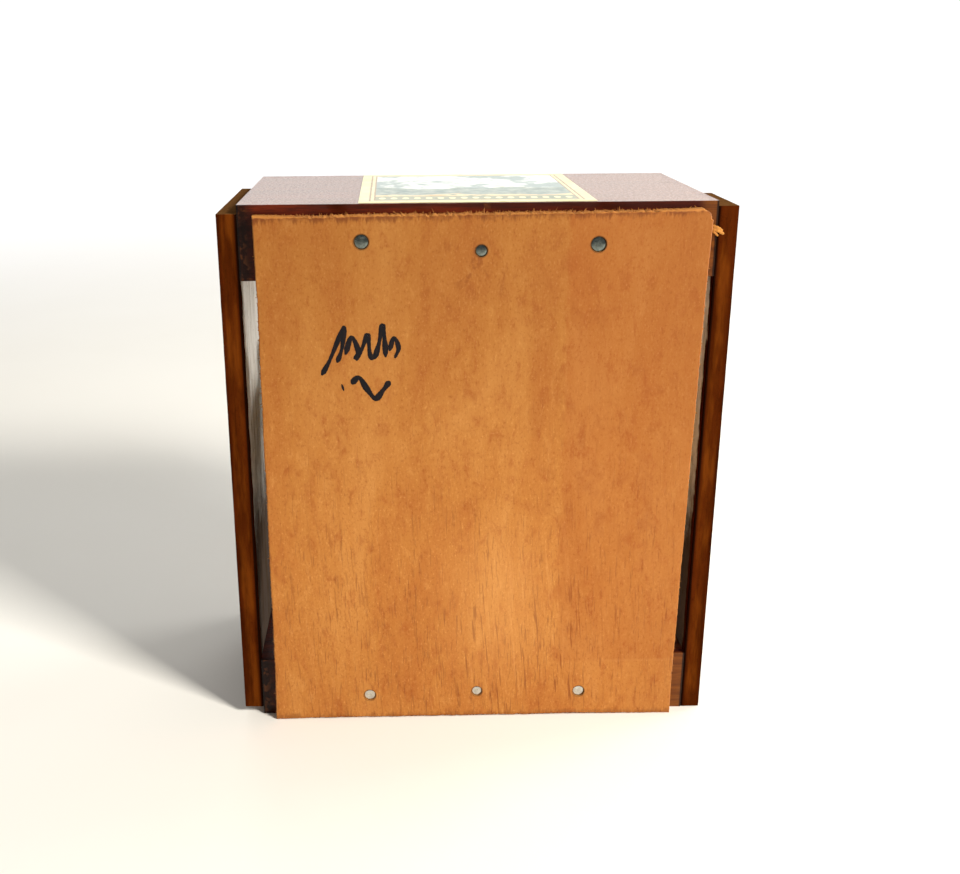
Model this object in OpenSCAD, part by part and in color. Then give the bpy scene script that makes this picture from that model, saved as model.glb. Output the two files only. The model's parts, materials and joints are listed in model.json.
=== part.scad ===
// Cylinder music box: a crate-style wooden case with a lever-wound cylinder movement inside.
// The case stands on its rear end board, as it does on a bench while its base is looked at.
// X runs across the case, +Z from the rear end to the label end, +Y from the base to the glass.

/* [Case] */
// Width of both end boards
end_w = 145; // [145:0.5:148]
// Depth of both end boards, from the base side to the glass side
end_d = 79; // [78:0.5:82]
// Height of the standing case, without the paper label
case_h = 174.4; // [173:0.2:178]
// Thickness of the label end board
label_end_t = 23; // [21:0.5:23]
// Thickness of the rear end board
rear_end_t = 21; // [19:0.5:21]
// Thickness of the side slats
slat_t = 6.2; // [5:0.1:6.2]
// Depth of the tall left slat
left_slat_d = 65.5; // [40:0.5:65.5]
// Depth of the short right slat
right_slat_d = 32; // [28:0.5:34]
// Thickness of the base panel
base_t = 4; // [3:0.5:5]
// Height of the base panel at its left edge
base_left_h = 171.5; // [168:0.1:172.5]
// Height of the base panel at its right edge
base_right_h = 172.5; // [168:0.1:173.5]
// Distance of the base panel's top left corner from the middle
base_top_left = 67.5; // [66.5:0.1:70]
// Distance of the base panel's top right corner from the middle
base_top_right = 70.2; // [67:0.1:71]
// Distance of the base panel's lower left corner from the middle
base_low_left = 67.8; // [66.5:0.1:70]
// Distance of the base panel's lower right corner from the middle
base_low_right = 67.7; // [66.5:0.1:71]
// Thickness of the glass lid
glass_t = 2.6; // [2:0.1:2.8]

/* [Movement] */
// Radius of the cylinder without its pins
cyl_r = 15; // [14.5:0.1:15]
// Length of the cylinder
cyl_len = 66; // [60:1:66]
// Number of comb teeth
comb_teeth = 48; // [24:4:48]
// Pins on each track of the cylinder
pins_per_track = 4; // [1:1:4]
// Height of the pins above the cylinder
pin_h = 0.8; // [0.5:0.1:0.8]
// Outer radius of the spring barrel
barrel_r = 16.5; // [14:0.5:16.5]
// Distance from the barrel's axis to the lever's knob
lever_r = 24; // [23:0.5:24]
// Radius of the air brake's blades
fan_r = 6.3; // [5:0.1:6.4]

/* [Hidden] */
$fn = 48;

// Case: y is measured from the end boards' base side, which lies face_y from the origin
face_y = -(end_d + base_t) / 2 + base_t;
half_w = end_w / 2;
inner_z0 = rear_end_t;
inner_z1 = case_h - label_end_t;
inner_h = inner_z1 - inner_z0;
base_corner_r = 3;
left_slat_z = [2.8, 171.7];
right_slat_z = [0.2, 172.8];
label_t = 0.15;
label_w = 72;
label_margin = 1.2;
groove_deep = 4;
groove_t = glass_t + 0.4;
groove_y = left_slat_d + 1;
groove_stop = 4;
glass_gap = 0.3;
rail_w = 8.5;
rail_t = 10;
rail_x = 61.75;
pull_w = 6;
pull_t = 5;
pull_len = 56;
pull_scoop_r = 3;
pull_z = (inner_z0 + inner_z1 - pull_len) / 2;
fit_gap = 0.05; // radial clearance of every running shaft
eps = 0.1;

// Nails: [x, z, head radius] in the base, with the head a little below the surface
label_end_nails = [[-35.2, 163.6, 2.2], [0.8, 160.6, 1.8], [36, 162.2, 2.3]];
rear_end_nails = [[-35.5, 8.9, 1.9], [1, 9.8, 1.7], [35.8, 9.2, 1.9]];
nail_sunk = 0.3;
nail_head_t = 0.9;
nail_len = 22;
nail_r = 1;
slat_nail_len = 20;
left_nail_y = [14, 50];
right_nail_y = [8, 24];
slat_nail_r = 1.8;
glass_seat = 0.2; // the glass rests this far above the lower side of its groove

// Movement: local axes are x along the cylinder, y from the comb to the back, z up off the bed
bed_t = 3.5;
bed_x = 66;
bed_y = [-50, 34];
movement_y = rail_t + bed_t;
movement_z = 76;
cyl_y = 4;
cyl_z = 21;
cyl_x0 = -31;
cyl_x1 = cyl_x0 + cyl_len;
tube_wall = 1.2;
cap_t = 2;
arbor_r = 2;
tip_gap = 0.3;
tip_y = cyl_y - cyl_r - pin_h - tip_gap;
pin_r = 0.22;
small_arbor_r = 1; // of the second and third arbors
fan_arbor_r = 0.7;

// Gears: teeth and module of each pair
great_n = 48;
cyl_pinion_n = 12;
great_m = 0.8;
cyl_wheel_n = 60;
second_pinion_n = 10;
cyl_wheel_m = 0.56;
second_n = 48;
third_pinion_n = 12;
second_m = 0.5;
worm_wheel_n = 40;
worm_m = 0.4;
function centre(n, p, m) = (n + p) * m / 2;

barrel_z = 22;
barrel_gap = centre(great_n, cyl_pinion_n, great_m);
barrel_y = cyl_y - sqrt(pow(barrel_gap, 2) - pow(barrel_z - cyl_z, 2));
second_gap = centre(cyl_wheel_n, second_pinion_n, cyl_wheel_m);
second_tilt = 190;
second_y = cyl_y + second_gap * cos(second_tilt);
second_z = cyl_z + second_gap * sin(second_tilt);
third_y = second_y - centre(second_n, third_pinion_n, second_m);
third_z = second_z;
worm_pitch_r = 1.6;
worm_root_r = 1;
worm_tip_r = 2;
worm_x = 54;
worm_y = third_y + worm_wheel_n * worm_m / 2 + worm_pitch_r;
worm_turns = 6;
worm_lead = PI * worm_m;
barrel_to_cyl = atan2(cyl_z - barrel_z, cyl_y - barrel_y);

// Stations along x, from the lever to the governor
lever_x = [-69, -66.5];
lever_nut_x = [-70.3, -69.05];
ratchet_x = [-64.5, -63];
barrel_bridge_x = [-62, -59];
cover_x = [-57.4, -56.2];
drum_x = [-56.2, -40];
great_x = [-40, -37.5];
left_bridge_x = [-36, -33];
cyl_wheel_x = [37, 39];
right_bridge_x = [41, 44];
second_x = [46, 47.2];
worm_wheel_x = [worm_x - 0.6, worm_x + 0.6];
governor_plate_x = [62.5, 65];
flange_t = 3;
post_r = 7.5; // round head and leg of the posts that carry the cylinder and the barrel
post_leg = 11;
small_post_r = 4.5;
small_post_leg = 7;
cock_z = 46.5;
cock_t = 2.4;
cock_w = 8;
fan_z = [31.8, 41.8];

// Ratchet and click, in the plane across the barrel's axis
ratchet_n = 16;
ratchet_tip_r = 9;
ratchet_root_r = 7.4;
click_angle = 140;
click_arm = 13.5;
click_y = barrel_y + click_arm * cos(click_angle);
click_z = barrel_z + click_arm * sin(click_angle);
nose_angle = 95;
lever_tilt = 165; // the lever leans to the comb side, nearly level

// Comb
comb_x0 = -30;
comb_pitch = 64 / comb_teeth;
slot_w = 0.34;
comb_z = 20.4;
tooth_t = 1.1;
comb_t = 2.3;
comb_back_y = -41;
bass_len = 20;
treble_len = 11;
lead_count = 14;
comb_screw_x = [-25, -12, 2, 16, 29];
comb_screw_y = -37.5;

// Stop lever
stop_x = 46;
stop_y = -40;
stop_z = 35;
stop_t = 1.5;
stop_tip_len = 17;
stop_tip_angle = 98;
stop_handle_len = 25;
stop_handle_angle = -14;
stop_pad_r = 2.6;
stop_screw_r = 1.4;
stop_screw_deep = 6;

frame_screw_r = 1.2;
frame_screw_head = [1.4, 2.2]; // height and radius
frame_screw_deep = 2.2;
frame_screw_at = [
  [-29, -22], [-29, 8], [-54.5, -26], [-54.5, -14], [47, -31], [47, 6],
  [-24, -44], [28, -44], [stop_x, stop_y]
];
governor_screw_at = [[59.9, -30], [59.9, -15]];
bed_screw_r = 1.2;
bed_screw_head = [1.6, 2.3];
bed_screw_deep = 7;
bed_screw_at = [[-63.6, -44], [63.6, -44], [-63.6, 28], [63.6, 28]];

module in_case() {
  translate([0, face_y, 0]) children();
}

module in_movement() {
  in_case() translate([0, movement_y, movement_z]) rotate([-90, 0, 0]) children();
}

// A flat outline drawn in y and z, standing between two stations along x
module plate(x) {
  translate([x[0], 0, 0]) rotate([90, 0, 90]) linear_extrude(x[1] - x[0]) children();
}

// A round bar along x at y, z
module bar(x, y, z, r) {
  translate([x[0], y, z]) rotate([0, 90, 0]) cylinder(h = x[1] - x[0], r = r);
}

// A cylinder along y from y0 towards +y
module along_y(x, y0, z, len, r) {
  translate([x, y0, z]) rotate([-90, 0, 0]) cylinder(h = len, r = r);
}

// Corner points of a gear: each tooth is a trapezoid with its tip corners eased
function tooth(r, root, tip, wide) = [
  [root, -wide[0]], [r, -wide[1]], [tip, -wide[2]], [tip, wide[2]], [r, wide[1]], [root, wide[0]]
];
function gear_points(n, m, turn, add, ded, wide) = let (
  r = n * m / 2, pitch = 360 / n, t = tooth(r, r - ded * m, r + add * m, wide)
) [for (i = [0 : n - 1], p = t) let (a = turn + pitch * (i + p[1])) [p[0] * cos(a), p[0] * sin(a)]];

// Half widths of a tooth at its root, pitch line and tip, as shares of the tooth pitch
wheel_wide = [0.26, 0.205, 0.07];
pinion_wide = [0.2, 0.175, 0.07];
worm_wheel_wide = [0.24, 0.17, 0.07];

module wheel(n, m, turn) {
  polygon(gear_points(n, m, turn, 0.75, 1.15, wheel_wide));
}

module pinion(n, m, turn) {
  polygon(gear_points(n, m, turn, 0.7, 1.1, pinion_wide));
}

module spokes(count, at, r) {
  for (i = [0 : count - 1]) rotate(360 / count * i) translate([at, 0]) circle(r = r);
}

// Nails, driven along +y
module base_nails(list) {
  for (n = list) {
    along_y(n[0], -base_t + nail_sunk, n[1], nail_head_t, n[2]);
    along_y(n[0], -base_t + nail_sunk + nail_head_t, n[1], nail_len - nail_head_t, nail_r);
  }
}

module base_nail_holes(list) {
  base_nails(list);
  for (n = list) along_y(n[0], -base_t - eps, n[1], nail_sunk + eps, n[2]);
}

// Nails through one slat, driven towards the middle of the case; side is -1 left, 1 right
module slat_nails(side, ys) {
  for (y = ys, z = [rear_end_t / 2, case_h - label_end_t / 2])
    translate([side * (half_w + slat_t), y, z]) rotate([0, -90 * side, 0]) {
      cylinder(h = nail_head_t, r = slat_nail_r);
      translate([0, 0, nail_head_t]) cylinder(h = slat_nail_len - nail_head_t, r = nail_r);
    }
}

module base_panel() color("peru") in_case() difference() {
  rotate([90, 0, 0]) linear_extrude(base_t) difference() {
    polygon([[-base_low_left, 0], [base_low_right, 0],
             [base_top_right, base_right_h], [-base_top_left, base_left_h]]);
    translate([base_top_right - base_corner_r, base_right_h - base_corner_r]) difference() {
      square(base_corner_r + eps);
      circle(r = base_corner_r);
    }
  }
  base_nail_holes(label_end_nails);
  base_nail_holes(rear_end_nails);
}

// One end board; z is where it starts, and groove_z where its glass groove starts
module end_board(z, t, groove_z) difference() {
  translate([-half_w, 0, z]) cube([end_w, end_d, t]);
  translate([-half_w + groove_stop, groove_y, groove_z]) cube([end_w, groove_t, groove_deep]);
  slat_nails(-1, left_nail_y);
  slat_nails(1, right_nail_y);
  children();
}

module label_end_board() color("saddlebrown") in_case()
  end_board(inner_z1, label_end_t, inner_z1) base_nails(label_end_nails);

module rear_end_board() color("saddlebrown") in_case()
  end_board(0, rear_end_t, rear_end_t - groove_deep) base_nails(rear_end_nails);

module slat(side, z, d, ys) color("maroon") in_case() difference() {
  translate([side * (half_w + slat_t / 2) - slat_t / 2, 0, z[0]]) cube([slat_t, d, z[1] - z[0]]);
  slat_nails(side, ys);
}

module left_slat() slat(-1, left_slat_z, left_slat_d, left_nail_y);
module right_slat() slat(1, right_slat_z, right_slat_d, right_nail_y);
module left_slat_nails() color("gray") in_case() slat_nails(-1, left_nail_y);
module right_slat_nails() color("gray") in_case() slat_nails(1, right_nail_y);
module label_end_base_nails() color("silver") in_case() base_nails(label_end_nails);
module rear_end_base_nails() color("silver") in_case() base_nails(rear_end_nails);

module paper_label() color("wheat") in_case()
  translate([-label_w / 2, label_margin, case_h]) cube([label_w, end_d - 2 * label_margin, label_t]);

module rail(x) color("burlywood") difference() {
  in_case() translate([x - rail_w / 2, 0, inner_z0]) cube([rail_w, rail_t, inner_h]);
  in_movement() bed_screw_set();
}

module left_rail() rail(-rail_x);
module right_rail() rail(rail_x);

module glass_lid() color("lightcyan", 0.4) in_case()
  translate([-half_w + groove_stop + glass_gap, groove_y + glass_seat, inner_z0 - groove_deep + glass_gap])
    cube([end_w - groove_stop - 2 * glass_gap, glass_t, inner_h + 2 * (groove_deep - glass_gap)]);

// A bar on the glass with a scooped edge for a fingertip
module lid_pull() color("sienna") in_case()
  translate([half_w - glass_gap - pull_w, groove_y + glass_seat + glass_t, pull_z])
    difference() {
      cube([pull_w, pull_t, pull_len]);
      translate([pull_w + 0.8, pull_t + 1.2, -eps]) cylinder(h = pull_len + 2 * eps, r = pull_scoop_r);
    }

// Fixed frame of the movement
module slot(r, z, wide, turn) rotate(turn) translate([-r - eps, -wide / 2, z]) cube([2 * (r + eps), wide, 1]);

module bed_screw_set() for (p = bed_screw_at) translate([p[0], p[1], 0]) {
  difference() {
    cylinder(h = bed_screw_head[0], r = bed_screw_head[1]);
    slot(bed_screw_head[1], 1, 0.7, 10 + p[0]);
  }
  translate([0, 0, -bed_t - bed_screw_deep]) cylinder(h = bed_t + bed_screw_deep, r = bed_screw_r);
}

module bedplate_screws() color("steelblue") in_movement() bed_screw_set();

// Screws from under the bed, each ending blind in the piece that stands above it, and the two that
// hold the governor plate from above, over the rail
module frame_screw_set() {
  for (p = frame_screw_at) translate([p[0], p[1], -bed_t]) {
    translate([0, 0, -frame_screw_head[0]]) cylinder(h = frame_screw_head[0], r = frame_screw_head[1]);
    cylinder(h = bed_t + frame_screw_deep, r = frame_screw_r);
  }
  for (p = governor_screw_at) translate([p[0], p[1], 0]) {
    translate([0, 0, flange_t]) difference() {
      cylinder(h = frame_screw_head[0], r = frame_screw_head[1]);
      slot(frame_screw_head[1], 0.8, 0.6, 4 * p[1]);
    }
    translate([0, 0, -bed_t + 0.5]) cylinder(h = bed_t - 0.5 + flange_t, r = frame_screw_r);
  }
}

module frame_screws() color("steelblue") in_movement() frame_screw_set();

module bedplate() color("goldenrod") in_movement() difference() {
  translate([-bed_x, bed_y[0], -bed_t]) cube([2 * bed_x, bed_y[1] - bed_y[0], bed_t]);
  frame_screw_set();
  bed_screw_set();
}

// A bearing post in y and z: a round head on a straight leg
module post(y, z, r, leg) {
  translate([y, z]) circle(r = r);
  translate([y - leg / 2, 0]) square([leg, z]);
}

// A running bore along x through the stations x
module bore(x, y, z, r) bar(x + [-eps, eps], y, z, r + fit_gap);

left_foot_y = [barrel_y - post_leg / 2, cyl_y + post_leg / 2];
module left_bridge() color("goldenrod") in_movement() difference() {
  union() {
    plate(left_bridge_x) {
      post(cyl_y, cyl_z, post_r, post_leg);
      post(barrel_y, barrel_z, post_r, post_leg);
      translate([left_foot_y[0], 0]) square([left_foot_y[1] - left_foot_y[0], 7]);
    }
    translate([left_bridge_x[1], left_foot_y[0], 0]) cube([8, left_foot_y[1] - left_foot_y[0], flange_t]);
  }
  bore(left_bridge_x, cyl_y, cyl_z, arbor_r);
  bore(left_bridge_x, barrel_y, barrel_z, arbor_r);
  frame_screw_set();
}

module barrel_bridge() color("goldenrod") in_movement() difference() {
  union() {
    plate(barrel_bridge_x) {
      post(barrel_y, barrel_z, 9, 15);
      hull() {
        translate([barrel_y, barrel_z]) circle(r = 6, $fn = 32);
        translate([click_y, click_z]) circle(r = 3.6, $fn = 32);
      }
    }
    translate([barrel_bridge_x[1], barrel_y - 9, 0]) cube([9, 18, flange_t]);
  }
  bore(barrel_bridge_x, barrel_y, barrel_z, arbor_r);
  click_screw_shape();
  frame_screw_set();
}

right_foot_y = [third_y - small_post_r, cyl_y + post_leg / 2];
module right_bridge() color("goldenrod") in_movement() difference() {
  union() {
    plate(right_bridge_x) {
      post(cyl_y, cyl_z, post_r, post_leg);
      post(second_y, second_z, small_post_r, small_post_leg);
      post(third_y, third_z, small_post_r, small_post_leg);
      translate([right_foot_y[0], 0]) square([right_foot_y[1] - right_foot_y[0], 7]);
    }
    translate([right_bridge_x[1], right_foot_y[0], 0]) cube([6, right_foot_y[1] - right_foot_y[0], flange_t]);
  }
  bore(right_bridge_x, cyl_y, cyl_z, arbor_r);
  bore(right_bridge_x, second_y, second_z, small_arbor_r);
  bore(right_bridge_x, third_y, third_z, small_arbor_r);
  frame_screw_set();
}

module governor_plate() color("goldenrod") in_movement() difference() {
  union() {
    plate(governor_plate_x) {
      post(second_y, second_z, small_post_r, small_post_leg);
      post(third_y, third_z, small_post_r, small_post_leg);
      translate([third_y - small_post_leg / 2, 0]) square([second_y - third_y + small_post_leg, 12]);
      translate([worm_y - cock_w / 2, 0]) square([cock_w, cock_z]);
    }
    translate([governor_plate_x[0] - 5, third_y - small_post_leg / 2, 0])
      cube([5, second_y - third_y + small_post_leg, flange_t]);
  }
  bore(governor_plate_x, second_y, second_z, small_arbor_r);
  bore(governor_plate_x, third_y, third_z, small_arbor_r);
  cock_screw_shape();
  frame_screw_set();
}

module cock_screw_shape() translate([63.7, worm_y, 0]) {
  translate([0, 0, cock_z + cock_t]) cylinder(h = 1.1, r = 1.8);
  translate([0, 0, cock_z - 5]) cylinder(h = 5 + cock_t, r = 0.8);
}

module cock_screw() color("steelblue") in_movement() cock_screw_shape();

module governor_cock() color("goldenrod") in_movement() difference() {
  translate([0, 0, cock_z]) linear_extrude(cock_t) {
    translate([worm_x, worm_y - cock_w / 2]) square([governor_plate_x[1] - worm_x, cock_w]);
    translate([worm_x, worm_y]) circle(r = cock_w / 2);
  }
  translate([worm_x, worm_y, cock_z - eps]) cylinder(h = cock_t + 2 * eps, r = fan_arbor_r + fit_gap);
  cock_screw_shape();
}

module jewel_cap() color("firebrick") in_movement()
  translate([worm_x, worm_y, cock_z + cock_t]) cylinder(h = 0.9, r = 1.8);

module worm_foot() color("goldenrod") in_movement() translate([worm_x, worm_y, 0]) difference() {
  union() {
    cylinder(h = 1.6, r = 3.2);
    cylinder(h = 6, r = 2);
  }
  translate([0, 0, 3]) cylinder(h = 4, r = fan_arbor_r + fit_gap);
}

// Comb
function tooth_len(i) = bass_len + (treble_len - bass_len) * i / (comb_teeth - 1);
function tooth_x(i) = comb_x0 + comb_pitch * (i + 0.5);

module comb_screw_set() for (x = comb_screw_x) translate([x, comb_screw_y, comb_z]) {
  translate([0, 0, comb_t]) difference() {
    cylinder(h = 1.5, r = 2.4);
    slot(2.4, 0.8, 0.6, 25 + 3 * x);
  }
  translate([0, 0, -8]) cylinder(h = 8 + comb_t, r = 1.2);
}

module comb_base() color("gold") in_movement() difference() {
  plate([comb_x0 - 1, comb_x0 + 65])
    polygon([[-48.5, 0], [-31, 0], [-31, 4], [-33.6, 9], [-33.6, comb_z], [comb_back_y, comb_z],
             [comb_back_y - 1.5, 4], [-48.5, 4]]);
  comb_screw_set();
  frame_screw_set();
}

module comb() color("lightsteelblue") in_movement() difference() {
  union() {
    translate([0, 0, comb_z]) linear_extrude(tooth_t) polygon(concat(
      [[comb_x0 + 64, comb_back_y], [comb_x0, comb_back_y]],
      [for (i = [0 : comb_teeth - 1], s = [-1, 1], end = s < 0 ? [1, 0] : [0, 1])
        [tooth_x(i) + s * (comb_pitch - slot_w) / 2, tip_y - end * tooth_len(i)]]
    ));
    translate([comb_x0, comb_back_y, comb_z]) cube([64, -33.6 - comb_back_y, comb_t]);
  }
  comb_screw_set();
}

module comb_screws() color("steelblue") in_movement() comb_screw_set();

module tuning_leads() color("dimgray") in_movement() for (i = [0 : lead_count - 1])
  translate([tooth_x(i) - 0.4, tip_y - 5.5 + 0.12 * i, comb_z - 2.8 + 0.12 * i])
    cube([0.8, 4 - 0.12 * i, 2.8 - 0.12 * i]);

// Spring barrel
module spring_barrel() color("goldenrod") in_movement() difference() {
  bar(drum_x, barrel_y, barrel_z, barrel_r);
  bar([drum_x[0] - eps, drum_x[1] - 1.2], barrel_y, barrel_z, barrel_r - 1.4);
  bore(drum_x, barrel_y, barrel_z, arbor_r);
}

module barrel_cover() color("goldenrod") in_movement() difference() {
  bar(cover_x, barrel_y, barrel_z, barrel_r);
  bore(cover_x, barrel_y, barrel_z, arbor_r);
}

module great_wheel() color("goldenrod") in_movement() difference() {
  plate(great_x) translate([barrel_y, barrel_z]) difference() {
    wheel(great_n, great_m, barrel_to_cyl);
    spokes(6, 10.5, 3.4);
  }
  bore(great_x, barrel_y, barrel_z, arbor_r);
}

// The mainspring is a flat spiral ribbon, drawn as its two edges
spring_turns = 7;
spring_in = 3.8;
spring_out = 14.6;
spring_ribbon = 0.5;
function spiral(r0, r1, a) = let (r = r0 + (r1 - r0) * a / (360 * spring_turns)) [r * cos(a), r * sin(a)];
module mainspring() color("slategray") in_movement() plate([-55.6, -41.8])
  translate([barrel_y, barrel_z]) polygon(concat(
    [for (a = [0 : 20 : 360 * spring_turns]) spiral(spring_in, spring_out, a)],
    [for (a = [360 * spring_turns : -20 : 0])
      spiral(spring_in - spring_ribbon, spring_out - spring_ribbon, a)]
  ));

module winding_arbor() color("silver") in_movement() {
  bar([lever_x[0] - 1.5, left_bridge_x[1] + 1], barrel_y, barrel_z, arbor_r);
  bar([drum_x[0] + 0.2, drum_x[1] - 1.4], barrel_y, barrel_z, 3);
}

ratchet_pitch = 360 / ratchet_n;
module ratchet_wheel() color("silver") in_movement() difference() {
  plate(ratchet_x) translate([barrel_y, barrel_z]) polygon([
    for (i = [0 : ratchet_n - 1], p = [[ratchet_tip_r, -4], [ratchet_root_r, -2.5]])
      let (a = nose_angle + i * ratchet_pitch + p[1]) [p[0] * cos(a), p[0] * sin(a)]
  ]);
  bar(ratchet_x + [-eps, eps], barrel_y, barrel_z, arbor_r);
}

module click_screw_shape() {
  bar([-65.7, -64.7], click_y, click_z, 2.4);
  bar([-64.7, -62], click_y, click_z, 1.4);
  bar([-62, -60], click_y, click_z, 1);
}

module click_screw() color("steelblue") in_movement() click_screw_shape();

// The pawl's nose stands in one gap of the ratchet wheel
nose_r = ratchet_root_r + 0.35;
nose = [barrel_y + nose_r * cos(nose_angle), barrel_z + nose_r * sin(nose_angle)];
module click() color("silver") in_movement() difference() {
  plate(ratchet_x) {
    translate([click_y, click_z]) circle(r = 2.8);
    polygon([nose, nose + [0.15, 1.35], nose + [0.4, 1.9], [click_y + 1, click_z + 2.6],
             [click_y + 0.5, click_z - 2.2], nose + [-0.9, 1.3]]);
  }
  bar(ratchet_x + [-eps, eps], click_y, click_z, 1.4 + fit_gap);
}

module click_spring() color("silver") in_movement() difference() {
  plate([-62.85, -62.15]) translate([click_y, click_z]) {
    circle(r = 2.2);
    rotate(8) translate([0, 1.7]) square([7, 0.5]);
    rotate(-70) translate([0, -2.2]) square([7, 0.5]);
  }
  bar([-63, -62], click_y, click_z, 1.6);
}

// Winding lever: the arm turns on the arbor, and its knob points inwards over the barrel
lever_end_y = barrel_y + lever_r * cos(lever_tilt);
lever_end_z = barrel_z + lever_r * sin(lever_tilt);
module winding_lever() color("silver") in_movement() difference() {
  plate(lever_x) {
    translate([barrel_y, barrel_z]) circle(r = 6);
    translate([lever_end_y, lever_end_z]) circle(r = 3.4);
    translate([barrel_y, barrel_z]) rotate(lever_tilt) translate([0, -2.6]) square([lever_r, 5.2]);
  }
  bore(lever_x, barrel_y, barrel_z, arbor_r);
}

module lever_knob() color("black") in_movement()
  translate([lever_x[1], lever_end_y, lever_end_z]) rotate([0, 90, 0]) rotate_extrude()
    polygon([[0, 0], [2, 0], [2, 1.2], [3.2, 2.4], [3.5, 5], [3.2, 7.6], [2.2, 8.8], [0, 9.2]]);

module lever_nut() color("goldenrod") in_movement() difference() {
  plate(lever_nut_x) translate([barrel_y, barrel_z]) circle(r = 3.6, $fn = 6);
  bar(lever_nut_x + [-eps, eps], barrel_y, barrel_z, arbor_r);
}

// Cylinder
module cylinder_tube() color("gold") in_movement() difference() {
  bar([cyl_x0, cyl_x1], cyl_y, cyl_z, cyl_r);
  bar([cyl_x0 - eps, cyl_x1 + eps], cyl_y, cyl_z, cyl_r - tube_wall);
}

// Pins: each track has its own tune, given by its number
module cylinder_pins() color("silver") in_movement()
  for (i = [0 : comb_teeth - 1], k = [0 : pins_per_track - 1])
    translate([tooth_x(i), cyl_y, cyl_z]) rotate([i * i * 37 + k * (67 + 7 * i % 19), 0, 0])
      translate([0, 0, cyl_r - tube_wall]) cylinder(h = tube_wall + pin_h, r = pin_r, $fn = 6);

module cylinder_cap(x) color("goldenrod") in_movement() difference() {
  bar(x, cyl_y, cyl_z, cyl_r - tube_wall);
  bar(x + [-eps, eps], cyl_y, cyl_z, arbor_r);
}

module cylinder_left_cap() cylinder_cap([cyl_x0 + 0.5, cyl_x0 + 0.5 + cap_t]);
module cylinder_right_cap() cylinder_cap([cyl_x1 - 0.5 - cap_t, cyl_x1 - 0.5]);

module cylinder_arbor() color("silver") in_movement() {
  bar([great_x[0] - 1.5, right_bridge_x[1] + 1], cyl_y, cyl_z, arbor_r);
  bar([left_bridge_x[1] + 0.2, cyl_x0 + 0.5], cyl_y, cyl_z, 3.2);
  bar([cyl_x1 - 0.5, cyl_wheel_x[0]], cyl_y, cyl_z, 3.6);
  bar([cyl_wheel_x[1], right_bridge_x[0] - 0.2], cyl_y, cyl_z, 3.2);
}

module cylinder_pinion() color("silver") in_movement() difference() {
  plate(great_x + [-0.5, 0.5]) translate([cyl_y, cyl_z])
    pinion(cyl_pinion_n, great_m, barrel_to_cyl + 180 + 180 / cyl_pinion_n);
  bar(great_x + [-1, 1], cyl_y, cyl_z, arbor_r);
}

module cylinder_wheel() color("goldenrod") in_movement() difference() {
  plate(cyl_wheel_x) translate([cyl_y, cyl_z]) difference() {
    wheel(cyl_wheel_n, cyl_wheel_m, second_tilt);
    spokes(5, 9.5, 4.2);
  }
  bar(cyl_wheel_x + [-eps, eps], cyl_y, cyl_z, arbor_r);
}

// Governor train
module second_arbor() color("silver") in_movement() {
  bar([cyl_wheel_x[0] - 0.5, governor_plate_x[1] + 0.8], second_y, second_z, small_arbor_r);
  plate(cyl_wheel_x + [-0.7, 0.7]) translate([second_y, second_z])
    pinion(second_pinion_n, cyl_wheel_m, second_tilt + 180 + 180 / second_pinion_n);
}

module second_wheel() color("goldenrod") in_movement() difference() {
  plate(second_x) translate([second_y, second_z]) difference() {
    wheel(second_n, second_m, 180);
    spokes(5, 7, 2.6);
  }
  bar(second_x + [-eps, eps], second_y, second_z, small_arbor_r);
}

module third_arbor() color("silver") in_movement() {
  bar([right_bridge_x[0] - 0.8, governor_plate_x[1] + 0.8], third_y, third_z, small_arbor_r);
  plate(second_x + [-0.6, 0.6]) translate([third_y, third_z])
    pinion(third_pinion_n, second_m, 180 / third_pinion_n);
}

module worm_wheel() color("goldenrod") in_movement() difference() {
  plate(worm_wheel_x) translate([third_y, third_z]) difference() {
    polygon(gear_points(worm_wheel_n, worm_m, 180 / worm_wheel_n, 0.9, 1.2, worm_wheel_wide));
    spokes(5, 4.5, 1.5);
  }
  bar(worm_wheel_x + [-eps, eps], third_y, third_z, small_arbor_r);
}

// Outline of the worm across its axis: the thread is a lobe, the rest is the root circle
function lobe(a) = let (far = abs(a)) far < 34 ? worm_tip_r : far > 96 ? worm_root_r
  : worm_tip_r - (worm_tip_r - worm_root_r) * (far - 34) / 62;
module fan_worm() color("silver") in_movement() translate([worm_x, worm_y, 0]) {
  translate([0, 0, 3.2]) cylinder(h = cock_z + cock_t - 3.4, r = fan_arbor_r);
  translate([0, 0, third_z - worm_lead * worm_turns / 2])
    rotate(-90 - 180 * worm_turns) linear_extrude(
      height = worm_lead * worm_turns, twist = -360 * worm_turns, slices = 10 * worm_turns
    ) polygon([for (a = [-180 : 24 : 156]) [lobe(a) * cos(a), lobe(a) * sin(a)]]);
}

module fan_blades() color("goldenrod") in_movement() translate([worm_x, worm_y, fan_z[0]]) difference() {
  union() {
    cylinder(h = fan_z[1] - fan_z[0], r = 1.5);
    translate([-0.25, -fan_r, 0.5]) cube([0.5, 2 * fan_r, fan_z[1] - fan_z[0] - 1]);
  }
  translate([0, 0, -eps]) cylinder(h = fan_z[1] - fan_z[0] + 2 * eps, r = fan_arbor_r);
}

// Stop lever: its tip swings into the way of the air brake
module stop_lever() color("goldenrod") in_movement() translate([stop_x, stop_y, stop_z]) difference() {
  linear_extrude(stop_t) {
    circle(r = 3);
    rotate(stop_tip_angle) translate([0, -1.1]) square([stop_tip_len, 2.2]);
    rotate(stop_handle_angle) translate([0, -1.4]) square([stop_handle_len - stop_pad_r, 2.8]);
    rotate(stop_handle_angle) translate([stop_handle_len - stop_pad_r, 0]) circle(r = stop_pad_r);
  }
  translate([0, 0, -eps]) cylinder(h = stop_t + 2 * eps, r = stop_screw_r + fit_gap);
}

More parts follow.
